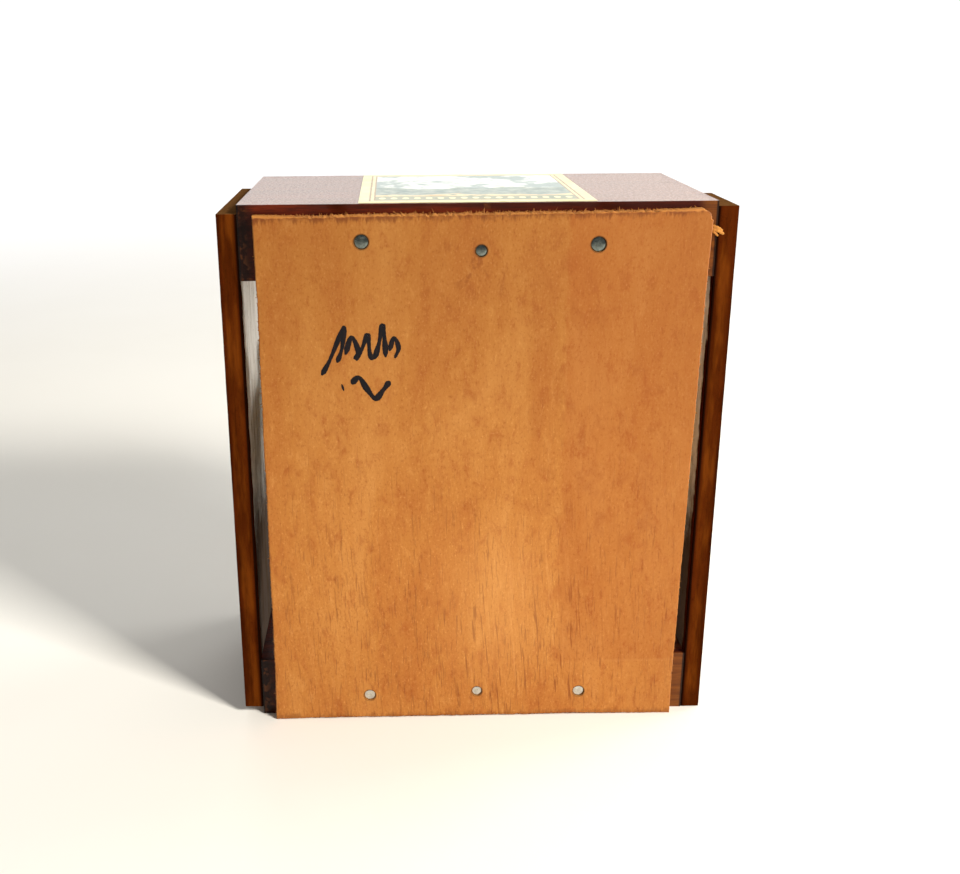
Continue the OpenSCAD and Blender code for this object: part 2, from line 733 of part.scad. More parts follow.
module stop_post() color("goldenrod") in_movement() difference() {
  translate([stop_x, stop_y, 0]) cylinder(h = stop_z - fit_gap, r = 2.4);
  frame_screw_set();
  translate([stop_x, stop_y, stop_z - stop_screw_deep]) cylinder(h = stop_screw_deep, r = stop_screw_r);
}

module stop_screw() color("steelblue") in_movement() translate([stop_x, stop_y, stop_z]) {
  translate([0, 0, -stop_screw_deep]) cylinder(h = stop_screw_deep + stop_t + 0.1, r = stop_screw_r);
  translate([0, 0, stop_t + 0.1]) cylinder(h = 1.2, r = 2.4);
}

base_panel();
label_end_board();
rear_end_board();
left_slat();
right_slat();
paper_label();
label_end_base_nails();
rear_end_base_nails();
left_slat_nails();
right_slat_nails();
left_rail();
right_rail();
glass_lid();
lid_pull();
bedplate();
bedplate_screws();
frame_screws();
left_bridge();
right_bridge();
barrel_bridge();
governor_plate();
governor_cock();
cock_screw();
jewel_cap();
worm_foot();
comb_base();
comb();
comb_screws();
tuning_leads();
spring_barrel();
barrel_cover();
great_wheel();
mainspring();
winding_arbor();
ratchet_wheel();
click();
click_screw();
click_spring();
winding_lever();
lever_knob();
lever_nut();
cylinder_tube();
cylinder_pins();
cylinder_left_cap();
cylinder_right_cap();
cylinder_arbor();
cylinder_pinion();
cylinder_wheel();
second_arbor();
second_wheel();
third_arbor();
worm_wheel();
fan_worm();
fan_blades();
stop_lever();
stop_post();
stop_screw();
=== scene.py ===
"""Looks of the cylinder music box: a worn crate-style case standing on its rear end, the movement inside.

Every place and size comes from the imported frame, in metres: X across the case, Y from the base panel to the
glass, Z from the rear end to the label end.
"""
import json
import math
import random
from functools import reduce

import bmesh
import bpy
from mathutils import Matrix, Vector, geometry, noise


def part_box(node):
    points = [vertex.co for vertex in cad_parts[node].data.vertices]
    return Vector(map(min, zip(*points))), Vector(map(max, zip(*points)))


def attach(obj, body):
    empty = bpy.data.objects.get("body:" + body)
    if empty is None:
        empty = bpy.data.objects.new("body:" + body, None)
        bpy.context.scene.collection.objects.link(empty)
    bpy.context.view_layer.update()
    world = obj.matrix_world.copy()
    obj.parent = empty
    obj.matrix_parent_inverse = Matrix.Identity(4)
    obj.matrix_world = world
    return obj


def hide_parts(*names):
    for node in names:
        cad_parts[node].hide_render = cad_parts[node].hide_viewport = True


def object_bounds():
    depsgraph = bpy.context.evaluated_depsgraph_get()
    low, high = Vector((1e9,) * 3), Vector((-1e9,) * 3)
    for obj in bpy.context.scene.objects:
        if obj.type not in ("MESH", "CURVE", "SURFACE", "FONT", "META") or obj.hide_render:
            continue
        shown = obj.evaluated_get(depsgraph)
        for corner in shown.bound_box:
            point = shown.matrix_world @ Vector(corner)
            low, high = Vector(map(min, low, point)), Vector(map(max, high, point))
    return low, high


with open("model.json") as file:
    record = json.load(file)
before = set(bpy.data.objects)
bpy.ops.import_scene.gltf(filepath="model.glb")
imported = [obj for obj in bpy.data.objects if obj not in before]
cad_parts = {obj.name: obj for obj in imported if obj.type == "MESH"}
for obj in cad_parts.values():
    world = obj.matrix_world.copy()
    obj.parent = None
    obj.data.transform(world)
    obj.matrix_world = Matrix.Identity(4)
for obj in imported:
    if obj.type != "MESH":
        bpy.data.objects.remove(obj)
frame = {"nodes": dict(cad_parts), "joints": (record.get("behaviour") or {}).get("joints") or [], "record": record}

MM = 0.001
CAD_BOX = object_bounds()
NODES = frame["nodes"]
BODY_OF = {n: b for b, names in frame["record"]["behaviour"]["bodies"].items() for n in names}
SLOT_OF = {s["node"]: s["material_slot"] for s in frame["record"]["subparts"]}
PANEL_LO, PANEL_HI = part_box("base_panel")
FACE_Y = PANEL_HI.y  # the end boards' near faces, which the panel is nailed to
SKY = (-0.5, 0.6, 0.3, 1.08)  # towards +Y the sky brightens between these two shares, and these two levels
HIGH_SKY = (0.4, 0.85, 1.0, 0.25)  # and it dims overhead in the same way
SKY_COLOUR = (1, 0.995, 0.985, 1)
CORNER = 3.0 * MM  # the radius of the panel's rounded top right corner


def panel_corners():
    """The base panel's lower left, lower right, top right and top left corners, as x and z, from its CAD
    mesh. The top right one is where its two edges would meet if the corner were not rounded."""
    points = [Vector((v.co.x, v.co.z)) for v in NODES["base_panel"].data.vertices]
    low = [p for p in points if p.y < PANEL_LO.z + 0.1 * MM]
    low_left, low_right = min(low, key=lambda p: p.x), max(low, key=lambda p: p.x)
    top_left = min((p for p in points if p.y > PANEL_HI.z - 5 * MM), key=lambda p: p.x)
    return [low_left, low_right, Vector((PANEL_HI.x, PANEL_HI.z)), top_left]


PANEL_CORNERS = panel_corners()
TOP_SLOPE = (PANEL_HI.z - PANEL_CORNERS[3].y) / (PANEL_HI.x - PANEL_CORNERS[3].x)


# ---------- materials

def srgb(red, green, blue):
    """A colour given as it looks on a screen, 0 to 255, as the linear colour that shaders use."""
    def linear(value):
        value /= 255
        return value / 12.92 if value <= 0.04045 else ((value + 0.055) / 1.055) ** 2.4
    return (linear(red), linear(green), linear(blue), 1.0)


class Look:
    """A procedural material. Its texture space is the CAD frame, in millimetres."""

    def __init__(self, name, **sockets):
        self.material = bpy.data.materials.new(name)
        self.material.use_nodes = True
        self.tree = self.material.node_tree
        self.shader = self.tree.nodes["Principled BSDF"]
        self.coords = self.tree.nodes.new("ShaderNodeTexCoord")
        for socket, value in sockets.items():
            self.set(socket.replace("_", " "), value)

    def set(self, socket, value):
        self.feed(self.shader.inputs[socket], value)

    def feed(self, socket, value):
        if isinstance(value, bpy.types.NodeSocket):
            self.tree.links.new(value, socket)
        else:
            socket.default_value = value

    def node(self, kind, **settings):
        made = self.tree.nodes.new("ShaderNode" + kind)
        for key, value in settings.items():
            setattr(made, key, value)
        return made

    def place(self, stretch=(1, 1, 1), shift=(0, 0, 0)):
        """Frame coordinates in millimetres, times stretch, plus shift."""
        mapping = self.node("Mapping")
        self.feed(mapping.inputs["Vector"], self.coords.outputs["Object"])
        mapping.inputs["Scale"].default_value = [s / MM for s in stretch]
        mapping.inputs["Location"].default_value = shift
        return mapping.outputs["Vector"]

    def lean(self, stretch, slope):
        """Frame coordinates in millimetres, times stretch, where x grows by slope for each step up."""
        joined = self.node("CombineXYZ")
        slid = self.plus(self.along("X"), self.times(self.along("Z"), slope))
        for i, value in enumerate((slid, self.along("Y"), self.along("Z"))):
            self.feed(joined.inputs[i], self.times(value, stretch[i]))
        return joined.outputs[0]

    def along(self, axis, vector=None):
        split = self.node("SeparateXYZ")
        self.feed(split.inputs[0], self.place() if vector is None else vector)
        return split.outputs[axis]

    def facing(self, axis):
        return self.along(axis, self.coords.outputs["Normal"])

    def noise(self, vector, scale=1.0, detail=3.0, rough=0.5, twist=0.0):
        made = self.node("TexNoise")
        self.feed(made.inputs["Vector"], vector)
        settings = {"Scale": scale, "Detail": detail, "Roughness": rough, "Distortion": twist}
        for socket, value in settings.items():
            made.inputs[socket].default_value = value
        return made.outputs["Fac"]

    def patches(self, stretch, detail=3.0, rough=0.5, twist=0.0, shift=(0, 0, 0)):
        """Noise over the frame; stretch is how fast it changes in each millimetre, one number or three."""
        if not isinstance(stretch, tuple):
            stretch = (stretch, stretch, stretch)
        return self.noise(self.place(stretch, shift), 1.0, detail, rough, twist)

    def calc(self, operation, a, b=0.0):
        made = self.node("Math", operation=operation)
        self.feed(made.inputs[0], a)
        self.feed(made.inputs[1], b)
        return made.outputs[0]

    def plus(self, a, b):
        return self.calc("ADD", a, b)

    def minus(self, a, b):
        return self.calc("SUBTRACT", a, b)

    def times(self, a, b):
        return self.calc("MULTIPLY", a, b)

    def gap(self, a, b):
        return self.calc("ABSOLUTE", self.minus(a, b))

    def square_on(self, axis):
        """1 where the surface faces along the axis, either way, and 0 where it is side on."""
        return self.calc("ABSOLUTE", self.facing(axis))

    def step(self, value, start, end, low=0.0, high=1.0):
        """A smooth step of value from low at start to high at end."""
        made = self.node("MapRange", interpolation_type="SMOOTHSTEP")
        self.feed(made.inputs[0], value)
        for i, number in enumerate((start, end, low, high)):
            self.feed(made.inputs[i + 1], number)
        return made.outputs[0]

    def both(self, *masks):
        return reduce(self.times, masks)

    def either(self, *masks):
        return reduce(lambda a, b: self.calc("MAXIMUM", a, b), masks)

    def ramp(self, value, *stops):
        """Colours between stops, each given as its place and its colour on a screen."""
        made = self.node("ValToRGB")
        self.feed(made.inputs[0], value)
        elements = made.color_ramp.elements
        while len(elements) < len(stops):
            elements.new(0.5)
        for element, (position, *tone) in zip(elements, stops):
            element.position = position
            element.color = srgb(*tone)
        return made.outputs[0]

    def mix(self, mask, a, b):
        made = self.node("Mix", data_type="RGBA")
        self.feed(made.inputs["Factor"], mask)
        self.feed(made.inputs[6], a)
        self.feed(made.inputs[7], b)
        return made.outputs[2]

    def lay(self, mask, tone, share=None):
        """Lays a tone over the colour so far, where the mask, or a share of it, says."""
        if share is not None:
            mask = self.times(mask, share)
        self.colour = self.mix(mask, self.colour, tone)

    def done(self, roughness, normal):
        """The finished material, with the colour laid so far."""
        self.set("Base Color", self.colour)
        self.set("Roughness", roughness)
        self.set("Normal", normal)
        return self.material

    def bump(self, height, depth_mm, strength=1.0):
        made = self.node("Bump")
        made.inputs["Strength"].default_value = strength
        made.inputs["Distance"].default_value = depth_mm * MM
        self.feed(made.inputs["Height"], height)
        return made.outputs["Normal"]

    def box_mask(self, centre, size, soft):
        """1 inside a box in x and z about centre, fading over soft millimetres."""
        masks = []
        for axis, middle, full in zip("XZ", centre, size):
            far = self.gap(self.along(axis), middle)
            masks.append(self.step(far, full / 2 - soft, full / 2 + soft, 1.0, 0.0))
        return self.both(*masks)


GRAIN = {"X": (0.06, 1, 1), "Y": (1, 0.06, 1), "Z": (1, 1, 0.06)}


def wood_figure(look, grain, shift=(0, 0, 0)):
    """The growth streaks, the fine fibre and the pores of a board whose grain runs along one axis."""
    line = look.place(GRAIN[grain], shift)
    streak = look.noise(line, 0.32, 4, 0.6, 0.6)
    fibre = look.noise(line, 3.2, 3, 0.65)
    pore = look.noise(line, 1.9, 2, 0.7, 0.2)
    return streak, fibre, pore


def pine_look(nails):
    """Thin orange-tan varnish on a pine panel, with pores, faint stains and a rust ring at each nail."""
    look = Look("pine_panel", Specular_IOR_Level=0.2, Coat_Weight=0.05, Coat_Roughness=0.4)
    streak, _, pore = wood_figure(look, "Z")
    up, across = look.along("Z"), look.along("X")
    wide = look.patches((0.04, 0.04, 0.014), 4, 0.6, 0.8)
    fine = look.ramp(streak, (0.2, 168, 100, 40), (0.5, 176, 111, 46), (0.8, 186, 122, 55))
    warm = look.ramp(wide, (0.3, 164, 93, 34), (0.5, 177, 112, 46), (0.7, 190, 128, 62))
    look.colour = look.mix(0.65, fine, warm)
    mottle = look.patches((0.3, 0.3, 0.14), 6, 0.7, 0.4, shift=(3, 0, 8))
    look.lay(look.step(mottle, 0.5, 0.7, 0.0, 0.6), srgb(150, 76, 24))
    look.lay(look.step(mottle, 0.46, 0.28, 0.0, 0.4), srgb(204, 142, 74))
    grit = look.patches((1.5, 1.5, 0.9), 3, 0.7, shift=(2, 0, 5))
    look.lay(look.step(grit, 0.54, 0.68, 0.0, 0.5), srgb(136, 70, 22))
    look.lay(look.step(grit, 0.44, 0.28, 0.0, 0.5), srgb(212, 150, 82))
    dashes = look.both(look.step(pore, 0.61, 0.68), look.step(up, 140, 15, 0.12, 1.0))
    look.lay(dashes, srgb(116, 56, 18), 0.5)
    grain = look.noise(look.lean((1.25, 1, 0.07), 0.085), 1.0, 2, 0.6)
    where = look.both(look.step(up, 105, 40, 0.0, 1.0), look.step(wide, 0.36, 0.5, 0.3, 1.0),
                      look.step(across, -30, 2, 0.45, 1.0), look.step(across, 40, 32, 0.35, 1.0))
    look.lay(look.both(look.step(grain, 0.6, 0.68), where), srgb(124, 62, 20), 0.8)
    look.lay(look.both(look.step(grain, 0.42, 0.32), where), srgb(210, 150, 84), 0.22)
    smudge = look.patches((0.16, 0.16, 0.1), 5, 0.65, 0.5, shift=(7, 0, 3))
    stain = look.both(look.step(smudge, 0.5, 0.62), look.box_mask((0, 155), (22, 14), 5))
    bruise = look.both(look.step(smudge, 0.5, 0.68), look.box_mask((42, 100), (44, 90), 14))
    look.lay(look.either(stain, look.times(bruise, 0.5)), srgb(126, 56, 16), 0.6)
    over_board = look.minus(up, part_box("rear_end_board")[1].z / MM)
    ghost = look.both(look.step(look.calc("ABSOLUTE", over_board), 0.9, 0.1), look.step(across, 38, 46))
    look.lay(ghost, srgb(222, 166, 96), 0.1)
    # Painted shade: the panel is darkened towards its top, where less light falls.
    look.lay(look.step(up, 40, 172, 0.0, 0.4), srgb(110, 66, 16))
    right_third = look.step(look.plus(across, look.times(mottle, 5)), 28.5, 31.5)
    right_third = look.both(right_third, look.step(over_board, -1.0, 0.6, 0.4, 1.0))
    look.lay(right_third, srgb(146, 70, 16), 0.3)
    # Painted shade: the panel darkens a little towards its right edge.
    look.lay(look.step(across, 40, 72, 0.0, 0.12), srgb(120, 66, 24))
    # Painted light: a soft paler patch low on the panel, where more light falls.
    look.lay(look.box_mask((8, 42), (26, 46), 16), srgb(212, 150, 84), 0.3)
    rim, torn = panel_rim(look)
    look.lay(rim, srgb(98, 42, 8), 0.8)
    look.lay(torn, srgb(200, 134, 66), 0.5)
    look.lay(nail_rings(look, nails), srgb(74, 42, 18), 0.6)
    sawn = look.step(look.square_on("Y"), 0.75, 0.35, 0.0, 0.7)
    look.lay(sawn, srgb(190, 128, 62))
    height = look.plus(look.times(grit, 0.5), look.times(dashes, -0.7))
    return look.done(look.step(grit, 0.3, 0.7, 0.5, 0.64), look.bump(height, 0.12, 0.7))


def panel_rim(look):
    """The broken darker band that hangs in streaks under the panel's sawn top edge, fainter along the foot,
    and the paler torn wood right at the edge."""
    hang = look.times(look.patches((0.9, 1, 0.16), 4, 0.7), 7)
    below = look.minus(PANEL_HI.z / MM, look.along("Z"))
    slope = look.times(look.minus(PANEL_HI.x / MM, look.along("X")), -TOP_SLOPE)
    below = look.plus(below, slope)
    patchy = look.step(look.patches((0.12, 1, 0.1), 4, 0.7, shift=(4, 0, 0)), 0.36, 0.56, 0.25, 1.0)
    band = look.both(look.step(look.minus(below, hang), -0.9, -3.0), look.step(below, 0.3, 0.7), patchy)
    above = look.minus(look.along("Z"), PANEL_LO.z / MM)
    foot = look.step(look.minus(above, hang), -1.0, -3.2, 0.0, 0.6)
    frayed = look.times(look.patches((0.8, 1, 0.8), 4, 0.7), 1.4)
    return look.either(band, foot), look.step(look.minus(below, frayed), 0.2, -0.2)


def nail_rings(look, nails):
    rings = []
    for centre, radius in nails:
        away = look.node("VectorMath", operation="DISTANCE")
        look.feed(away.inputs[0], look.place((1, 0, 1)))
        away.inputs[1].default_value = (centre.x / MM, 0, centre.z / MM)
        rings.append(look.step(away.outputs["Value"], radius / MM + 0.15, radius / MM + 0.55, 1.0, 0.0))
    return look.either(*rings)


def board_look(name, grain, light, dark, raw):
    """Red-brown varnish on a solid board; the end grain is darker and its fibres stand on end."""
    look = Look(name, Coat_Roughness=0.22, Specular_IOR_Level=0.1)
    on_top = look.both(look.step(look.facing("Z"), 0.4, 0.9), look.step(look.along("Z"), 168, 172))
    look.set("Coat Weight", look.step(on_top, 0.0, 1.0, 0.1, 0.3))
    streak, fibre, _ = wood_figure(look, grain, (11, 5, 2))
    wide = look.patches(0.05, 3, 0.6)
    look.colour = look.mix(look.step(streak, 0.3, 0.7), dark, light)
    look.lay(look.step(wide, 0.55, 0.8, 0.0, 0.4), dark)
    look.lay(look.step(fibre, 0.36, 0.55, 0.5, 0.0), srgb(34, 12, 7))
    dust = look.patches(1.6, 4, 0.75)
    speck = look.both(look.step(dust, 0.6, 0.7), look.step(wide, 0.35, 0.6, 0.3, 1.0))
    look.lay(speck, srgb(26, 9, 4), 0.7)
    front = look.step(look.along("Y"), FACE_Y / MM + 1.2, FACE_Y / MM + 0.2)
    # Painted light: the end boards' near faces in the right slot, lit from the right, are painted a lighter honey
    # brown.
    right_slot_light = look.both(front, look.step(look.along("X"), 66, 69), look.step(streak, 0.35, 0.65, 0.35, 0.8))
    look.lay(right_slot_light, srgb(120, 71, 22))
    craze = look.patches(0.9, 5, 0.75, shift=(6, 1, 0))
    bloom = look.both(look.step(craze, 0.3, 0.7, 0.25, 0.8), look.step(look.along("X"), -60, 70, 0.75, 1.0))
    look.lay(bloom, srgb(190, 154, 132), on_top)
    shaded = look.both(front, look.step(look.along("X"), -66, -71))
    look.lay(shaded, srgb(22, 7, 2), 0.9)
    ends = look.step(look.square_on(grain), 0.6, 0.9)
    rings = look.patches((0.25, 0.9, 0.25), 4, 0.6, 1.5)
    look.lay(look.times(ends, look.step(rings, 0.4, 0.6, 0.2, 0.7)), raw)
    bare = look.step(look.node("NewGeometry").outputs["Pointiness"], 0.53, 0.58)
    rubbed = look.both(bare, look.step(look.noise(look.place(), 0.35, 3), 0.48, 0.6))
    look.lay(rubbed, raw, 0.5)
    # Painted shade: near black in the joints between the end boards and the slats.
    look.lay(seam_shade_mask(look), srgb(12, 5, 3), 0.9)
    peel = look.patches(0.9, 3, 0.6)
    height = look.plus(look.times(fibre, 0.5), look.times(dust, 0.8))
    normal = look.bump(look.plus(height, peel), 0.09, 0.7)
    look.set("Coat Normal", normal)
    return look.done(look.step(dust, 0.35, 0.7, 0.3, 0.6), normal)


def seam_shade_mask(look):
    """Painted shade in the joint between each end board and the slats, seen from the near side."""
    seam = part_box("label_end_board")[1].x / MM
    off = look.gap(look.calc("ABSOLUTE", look.along("X")), seam)
    near = look.step(look.along("Y"), FACE_Y / MM + 1.6, FACE_Y / MM + 0.4)
    return look.both(look.step(off, 0.9, 0.35), near)


def slat_look(name, side):
    """Dark stain outside, pale weathered wood inside; side is -1 for the left slat and 1 for the right one.
    The stain wraps a few millimetres round the near edge, and the sawn ends are bare."""
    look = Look(name, Specular_IOR_Level=0.0)
    streak, fibre, pore = wood_figure(look, "Z", (3 * side, 9, 0))
    look.colour = look.mix(look.step(streak, 0.3, 0.7), srgb(48, 15, 2), srgb(72, 27, 5))
    dust = look.patches((1.4, 1.4, 0.8), 4, 0.75, shift=(5, 5, 0))
    look.lay(look.step(dust, 0.52, 0.7, 0.0, 0.6), srgb(34, 10, 2))
    glow = look.patches((0.3, 0.3, 0.05), 3, 0.6, shift=(5, 0, 0))
    lo, hi = (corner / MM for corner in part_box("left_slat" if side < 0 else "right_slat"))
    off_centre = look.gap(look.along("X"), (lo.x + hi.x) / 2)
    bright = look.both(look.step(glow, 0.4, 0.7, 0.1, 0.7), look.step(off_centre, 2.6, 1.2))
    look.lay(bright, srgb(106, 52, 11))
    # Painted shade: near black in the joints between the slats and the end boards.
    look.lay(seam_shade_mask(look), srgb(12, 5, 3), 0.9)
    wander = look.times(look.patches((1, 0.3, 0.12), 4, 0.6), 6)
    deep = look.minus(look.along("Y"), FACE_Y / MM + 1)
    pale_side = look.step(look.times(look.facing("X"), -side), 0.4, 0.8)
    pale = look.both(pale_side, look.step(look.minus(deep, wander), -1.0, 0.6))
    grey = look.patches((0.6, 0.25, 0.04), 4, 0.6)
    inner = look.ramp(grey, (0.3, 196, 188, 172), (0.5, 238, 234, 224), (0.8, 248, 246, 240))
    dirt = look.step(look.patches((1.1, 1.1, 0.5), 3, 0.7), 0.63, 0.7)
    inner = look.mix(look.times(dirt, 0.7), inner, srgb(86, 66, 50))
    # Partly brown stain, partly painted shade: the inner face turns dark brown towards the bottom, where less
    # light reaches inside the case.
    patchy = look.times(look.patches((0.2, 0.14, 0.1), 5, 0.7, shift=(1, 1, 4)), 50)
    low_down = look.step(look.plus(look.along("Z"), patchy), 124, 84)
    inner = look.mix(look.times(low_down, 0.94), inner, srgb(58, 36, 14))
    look.lay(pale, inner)
    sawn = look.step(look.square_on("Z"), 0.6, 0.9)
    raw = look.mix(look.noise(look.place((1, 0.4, 1)), 1.4, 4, 0.7), srgb(66, 40, 20), srgb(124, 86, 48))
    look.lay(sawn, raw)
    height = look.plus(fibre, look.times(pore, 0.8))
    rough = look.step(look.either(pale_side, sawn), 0.0, 1.0, 0.5, 0.92)
    return look.done(rough, look.bump(height, 0.12, 0.6))


def softwood_look(name, light, dark):
    look = Look(name, Specular_IOR_Level=0.3)
    streak, fibre, pore = wood_figure(look, "Z", (1, 2, 3))
    look.colour = look.mix(look.step(streak, 0.3, 0.7), dark, light)
    look.lay(look.step(fibre, 0.38, 0.55, 0.3, 0.0), dark)
    look.lay(look.step(pore, 0.64, 0.72, 0.0, 0.6), dark)
    return look.done(look.step(fibre, 0.3, 0.7, 0.6, 0.8), look.bump(fibre, 0.08, 0.6))


def label_look():
    """A small printed landscape inside a double rule and a cream border, with a row of plain dots along its
    near edge, under yellowed varnish."""
    lo, hi = (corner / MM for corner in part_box("paper_label"))
    look = Look("label_paper", Coat_Weight=0.06, Coat_Roughness=0.3, Specular_IOR_Level=0.15)
    x, y = look.along("X"), look.along("Y")
    from_side = look.minus((hi.x - lo.x) / 2, look.gap(x, (lo.x + hi.x) / 2))
    from_end = look.calc("MINIMUM", look.minus(y, lo.y), look.minus(hi.y, y))
    rough_edge = look.times(look.patches(0.5, 2), 0.4)
    inside = look.plus(look.calc("MINIMUM", from_side, from_end), rough_edge)
    picture = look.step(inside, 5.0, 5.4)
    hills = look.patches((0.045, 0, 0), 3, 0.55, shift=(3, 0, 0))
    ridge = look.plus(look.times(hills, 30), lo.y + 20)
    near_hills = look.patches((0.07, 0, 0), 2, shift=(9, 0, 0))
    near_ridge = look.plus(look.times(near_hills, 16), lo.y + 10)
    clouds = look.patches((0.07, 0.05, 0.1), 4, 0.6)
    sky = look.ramp(clouds, (0.42, 160, 174, 168), (0.5, 226, 230, 222),
                    (0.6, 246, 244, 232), (0.7, 226, 190, 150))
    crops = look.patches((0.12, 0.16, 0.1), 4, 0.6, shift=(2, 5, 0))
    field = look.ramp(crops, (0.35, 214, 176, 120), (0.5, 236, 214, 170), (0.62, 128, 142, 122))
    trees = look.patches((0.25, 0.25, 0.2), 4, 0.65)
    woods = look.ramp(trees, (0.35, 122, 140, 132), (0.65, 176, 184, 170))
    image = look.mix(look.step(y, look.plus(ridge, -0.4), look.plus(ridge, 0.4)), woods, sky)
    image = look.mix(look.step(y, look.plus(near_ridge, 0.3), look.plus(near_ridge, -0.3)), image, field)
    paper = look.ramp(look.patches(0.1, 4, 0.6), (0.3, 226, 216, 160), (0.7, 240, 232, 184))
    look.colour = look.mix(picture, paper, image)
    strip = look.both(picture, look.step(y, lo.y + 14.4, lo.y + 13.8))
    look.lay(strip, srgb(146, 154, 130), 0.85)
    look.lay(look.both(strip, dot_row(look, x, y, lo.y + 9.6)), srgb(240, 232, 180))
    outer_rule = look.both(look.step(inside, 3.2, 3.4), look.step(inside, 4.0, 3.8))
    inner_rule = look.both(look.step(inside, 4.7, 4.9), look.step(inside, 5.4, 5.2))
    look.lay(look.either(outer_rule, inner_rule), srgb(146, 108, 86), 0.75)
    age = look.step(look.patches(0.35, 5, 0.7), 0.56, 0.72)
    look.lay(age, srgb(150, 116, 66), 0.3)
    normal = look.bump(look.noise(look.place(), 1.5, 4, 0.6), 0.05, 0.5)
    return look.done(look.step(age, 0.0, 1.0, 0.42, 0.65), normal)


def dot_row(look, x, y, row_y):
    """Evenly spaced round dots along one line."""
    pitch, wide, deep = 3.6, 1.2, 2.4
    across = look.calc("DIVIDE", look.calc("PINGPONG", x, pitch / 2), wide)
    gap = look.calc("DIVIDE", look.minus(y, row_y), deep)
    far = look.calc("SQRT", look.plus(look.calc("POWER", across, 2), look.calc("POWER", gap, 2)))
    return look.step(far, 1.0, 0.75)


def metal_look(name, tone, stain, grain, rough=0.28, brushed=0.5, spotted=0.3):
    """Brushed metal: fine lines along grain, soft blotches of tarnish and rubbed bright edges."""
    look = Look(name, Metallic=1.0)
    lines = look.noise(look.place(GRAIN[grain]), 9, 3, 0.6)
    cloud = look.patches(0.16, 4, 0.6)
    spots = look.patches(1.3, 4, 0.7)
    look.colour = look.mix(look.step(cloud, 0.42, 0.7, 0.0, 0.55), tone, stain)
    look.lay(look.step(spots, 0.6, 0.74, 0.0, spotted), stain)
    worn = look.step(look.node("NewGeometry").outputs["Pointiness"], 0.52, 0.6)
    bright = tuple(min(1.0, c * 1.25 + 0.04) for c in tone[:3]) + (1.0,)
    look.lay(worn, bright, 0.7)
    smear = look.plus(look.times(lines, 0.12), look.times(cloud, 0.16))
    return look.done(look.plus(smear, rough - 0.13), look.bump(lines, 0.012, brushed))


def nail_look():
    look = Look("nail_steel", Metallic=1.0)
    cloud = look.patches(0.9, 4, 0.65)
    rust = look.patches(2.2, 4, 0.7, shift=(4, 4, 4))
    bright = look.mix(look.step(cloud, 0.4, 0.65), srgb(186, 186, 176), srgb(206, 206, 196))
    dim_reflection = look.mix(look.step(cloud, 0.4, 0.65), srgb(92, 99, 94), srgb(120, 126, 120))
    # Painted reflection: nails low on the panel are painted bright and those higher up dark, for the different
    # light they reflect.
    look.colour = look.mix(look.step(look.along("Z"), 70, 110), bright, dim_reflection)
    look.lay(look.step(rust, 0.6, 0.72, 0.0, 0.7), srgb(96, 74, 56))
    return look.done(look.step(cloud, 0.3, 0.7, 0.14, 0.28), look.bump(cloud, 0.03, 0.5))


def glass_look():
    look = Look("lid_glass", Transmission_Weight=1.0, IOR=1.5)
    look.set("Alpha", look.step(look.square_on("Y"), 0.5, 0.9, 1.0, 0.25))
    smear = look.patches((0.05, 0.05, 0.02), 4, 0.6)
    edge = look.step(look.square_on("Y"), 0.8, 0.5)
    look.colour = look.mix(edge, srgb(250, 253, 251), srgb(176, 212, 200))
    rough = look.plus(look.step(smear, 0.5, 0.8, 0.0, 0.012), look.times(edge, 0.35))
    return look.done(rough, look.bump(look.patches(0.03, 2), 0.006, 0.1))


def lead_look():
    look = Look("lead", Metallic=1.0)
    cloud = look.patches(1.5, 4, 0.7)
    look.colour = look.mix(cloud, srgb(76, 78, 82), srgb(142, 144, 146))
    return look.done(look.step(cloud, 0.3, 0.7, 0.5, 0.75), look.bump(cloud, 0.08, 0.7))


def gloss_look(name, tone, shade, rough):
    look = Look(name, Coat_Weight=0.6, Coat_Roughness=0.1)
    cloud = look.patches(0.8, 4, 0.6)
    scuff = look.patches(3, 3, 0.7)
    look.colour = look.mix(look.step(cloud, 0.35, 0.7), tone, shade)
    return look.done(look.step(scuff, 0.45, 0.75, rough, rough + 0.25), look.bump(scuff, 0.01, 0.4))


def ink_look():
    look = Look("ink", Specular_IOR_Level=0.15)
    cloud = look.noise(look.place((1, 1, 0.2)), 1.6, 4, 0.7)
    thin = look.step(cloud, 0.45, 0.75, 0.0, 0.6)
    look.colour = look.mix(thin, srgb(14, 12, 16), srgb(46, 30, 24))
    return look.done(look.step(cloud, 0.3, 0.7, 0.5, 0.7), look.bump(cloud, 0.02, 0.5))


def floor_look():
    """A pale floor that fades into the sky far from the case, so that no horizon shows."""
    look = Look("pale_floor", Specular_IOR_Level=0.2, Roughness=0.9)
    cloud = look.patches(0.006, 3, 0.5)
    away = look.node("VectorMath", operation="LENGTH")
    look.feed(away.inputs[0], look.place((1, 1, 0)))
    fade = look.step(away.outputs["Value"], 350, 1500)
    pale = look.mix(cloud, srgb(240, 236, 226), srgb(247, 244, 236))
    look.set("Base Color", look.mix(fade, pale, srgb(0, 0, 0)))
    toward = look.calc("DIVIDE", look.along("Y"), away.outputs["Value"])
    look.set("Emission Color", SKY_COLOUR)
    look.set("Emission Strength", look.times(fade, look.step(toward, *SKY)))
    return look.material


# ---------- mesh helpers

def welded(node):
    """The node's mesh with the corners of its triangles joined."""
    mesh = bmesh.new()
    mesh.from_mesh(NODES[node].data)
    bmesh.ops.remove_doubles(mesh, verts=mesh.verts, dist=1e-6)
    return mesh


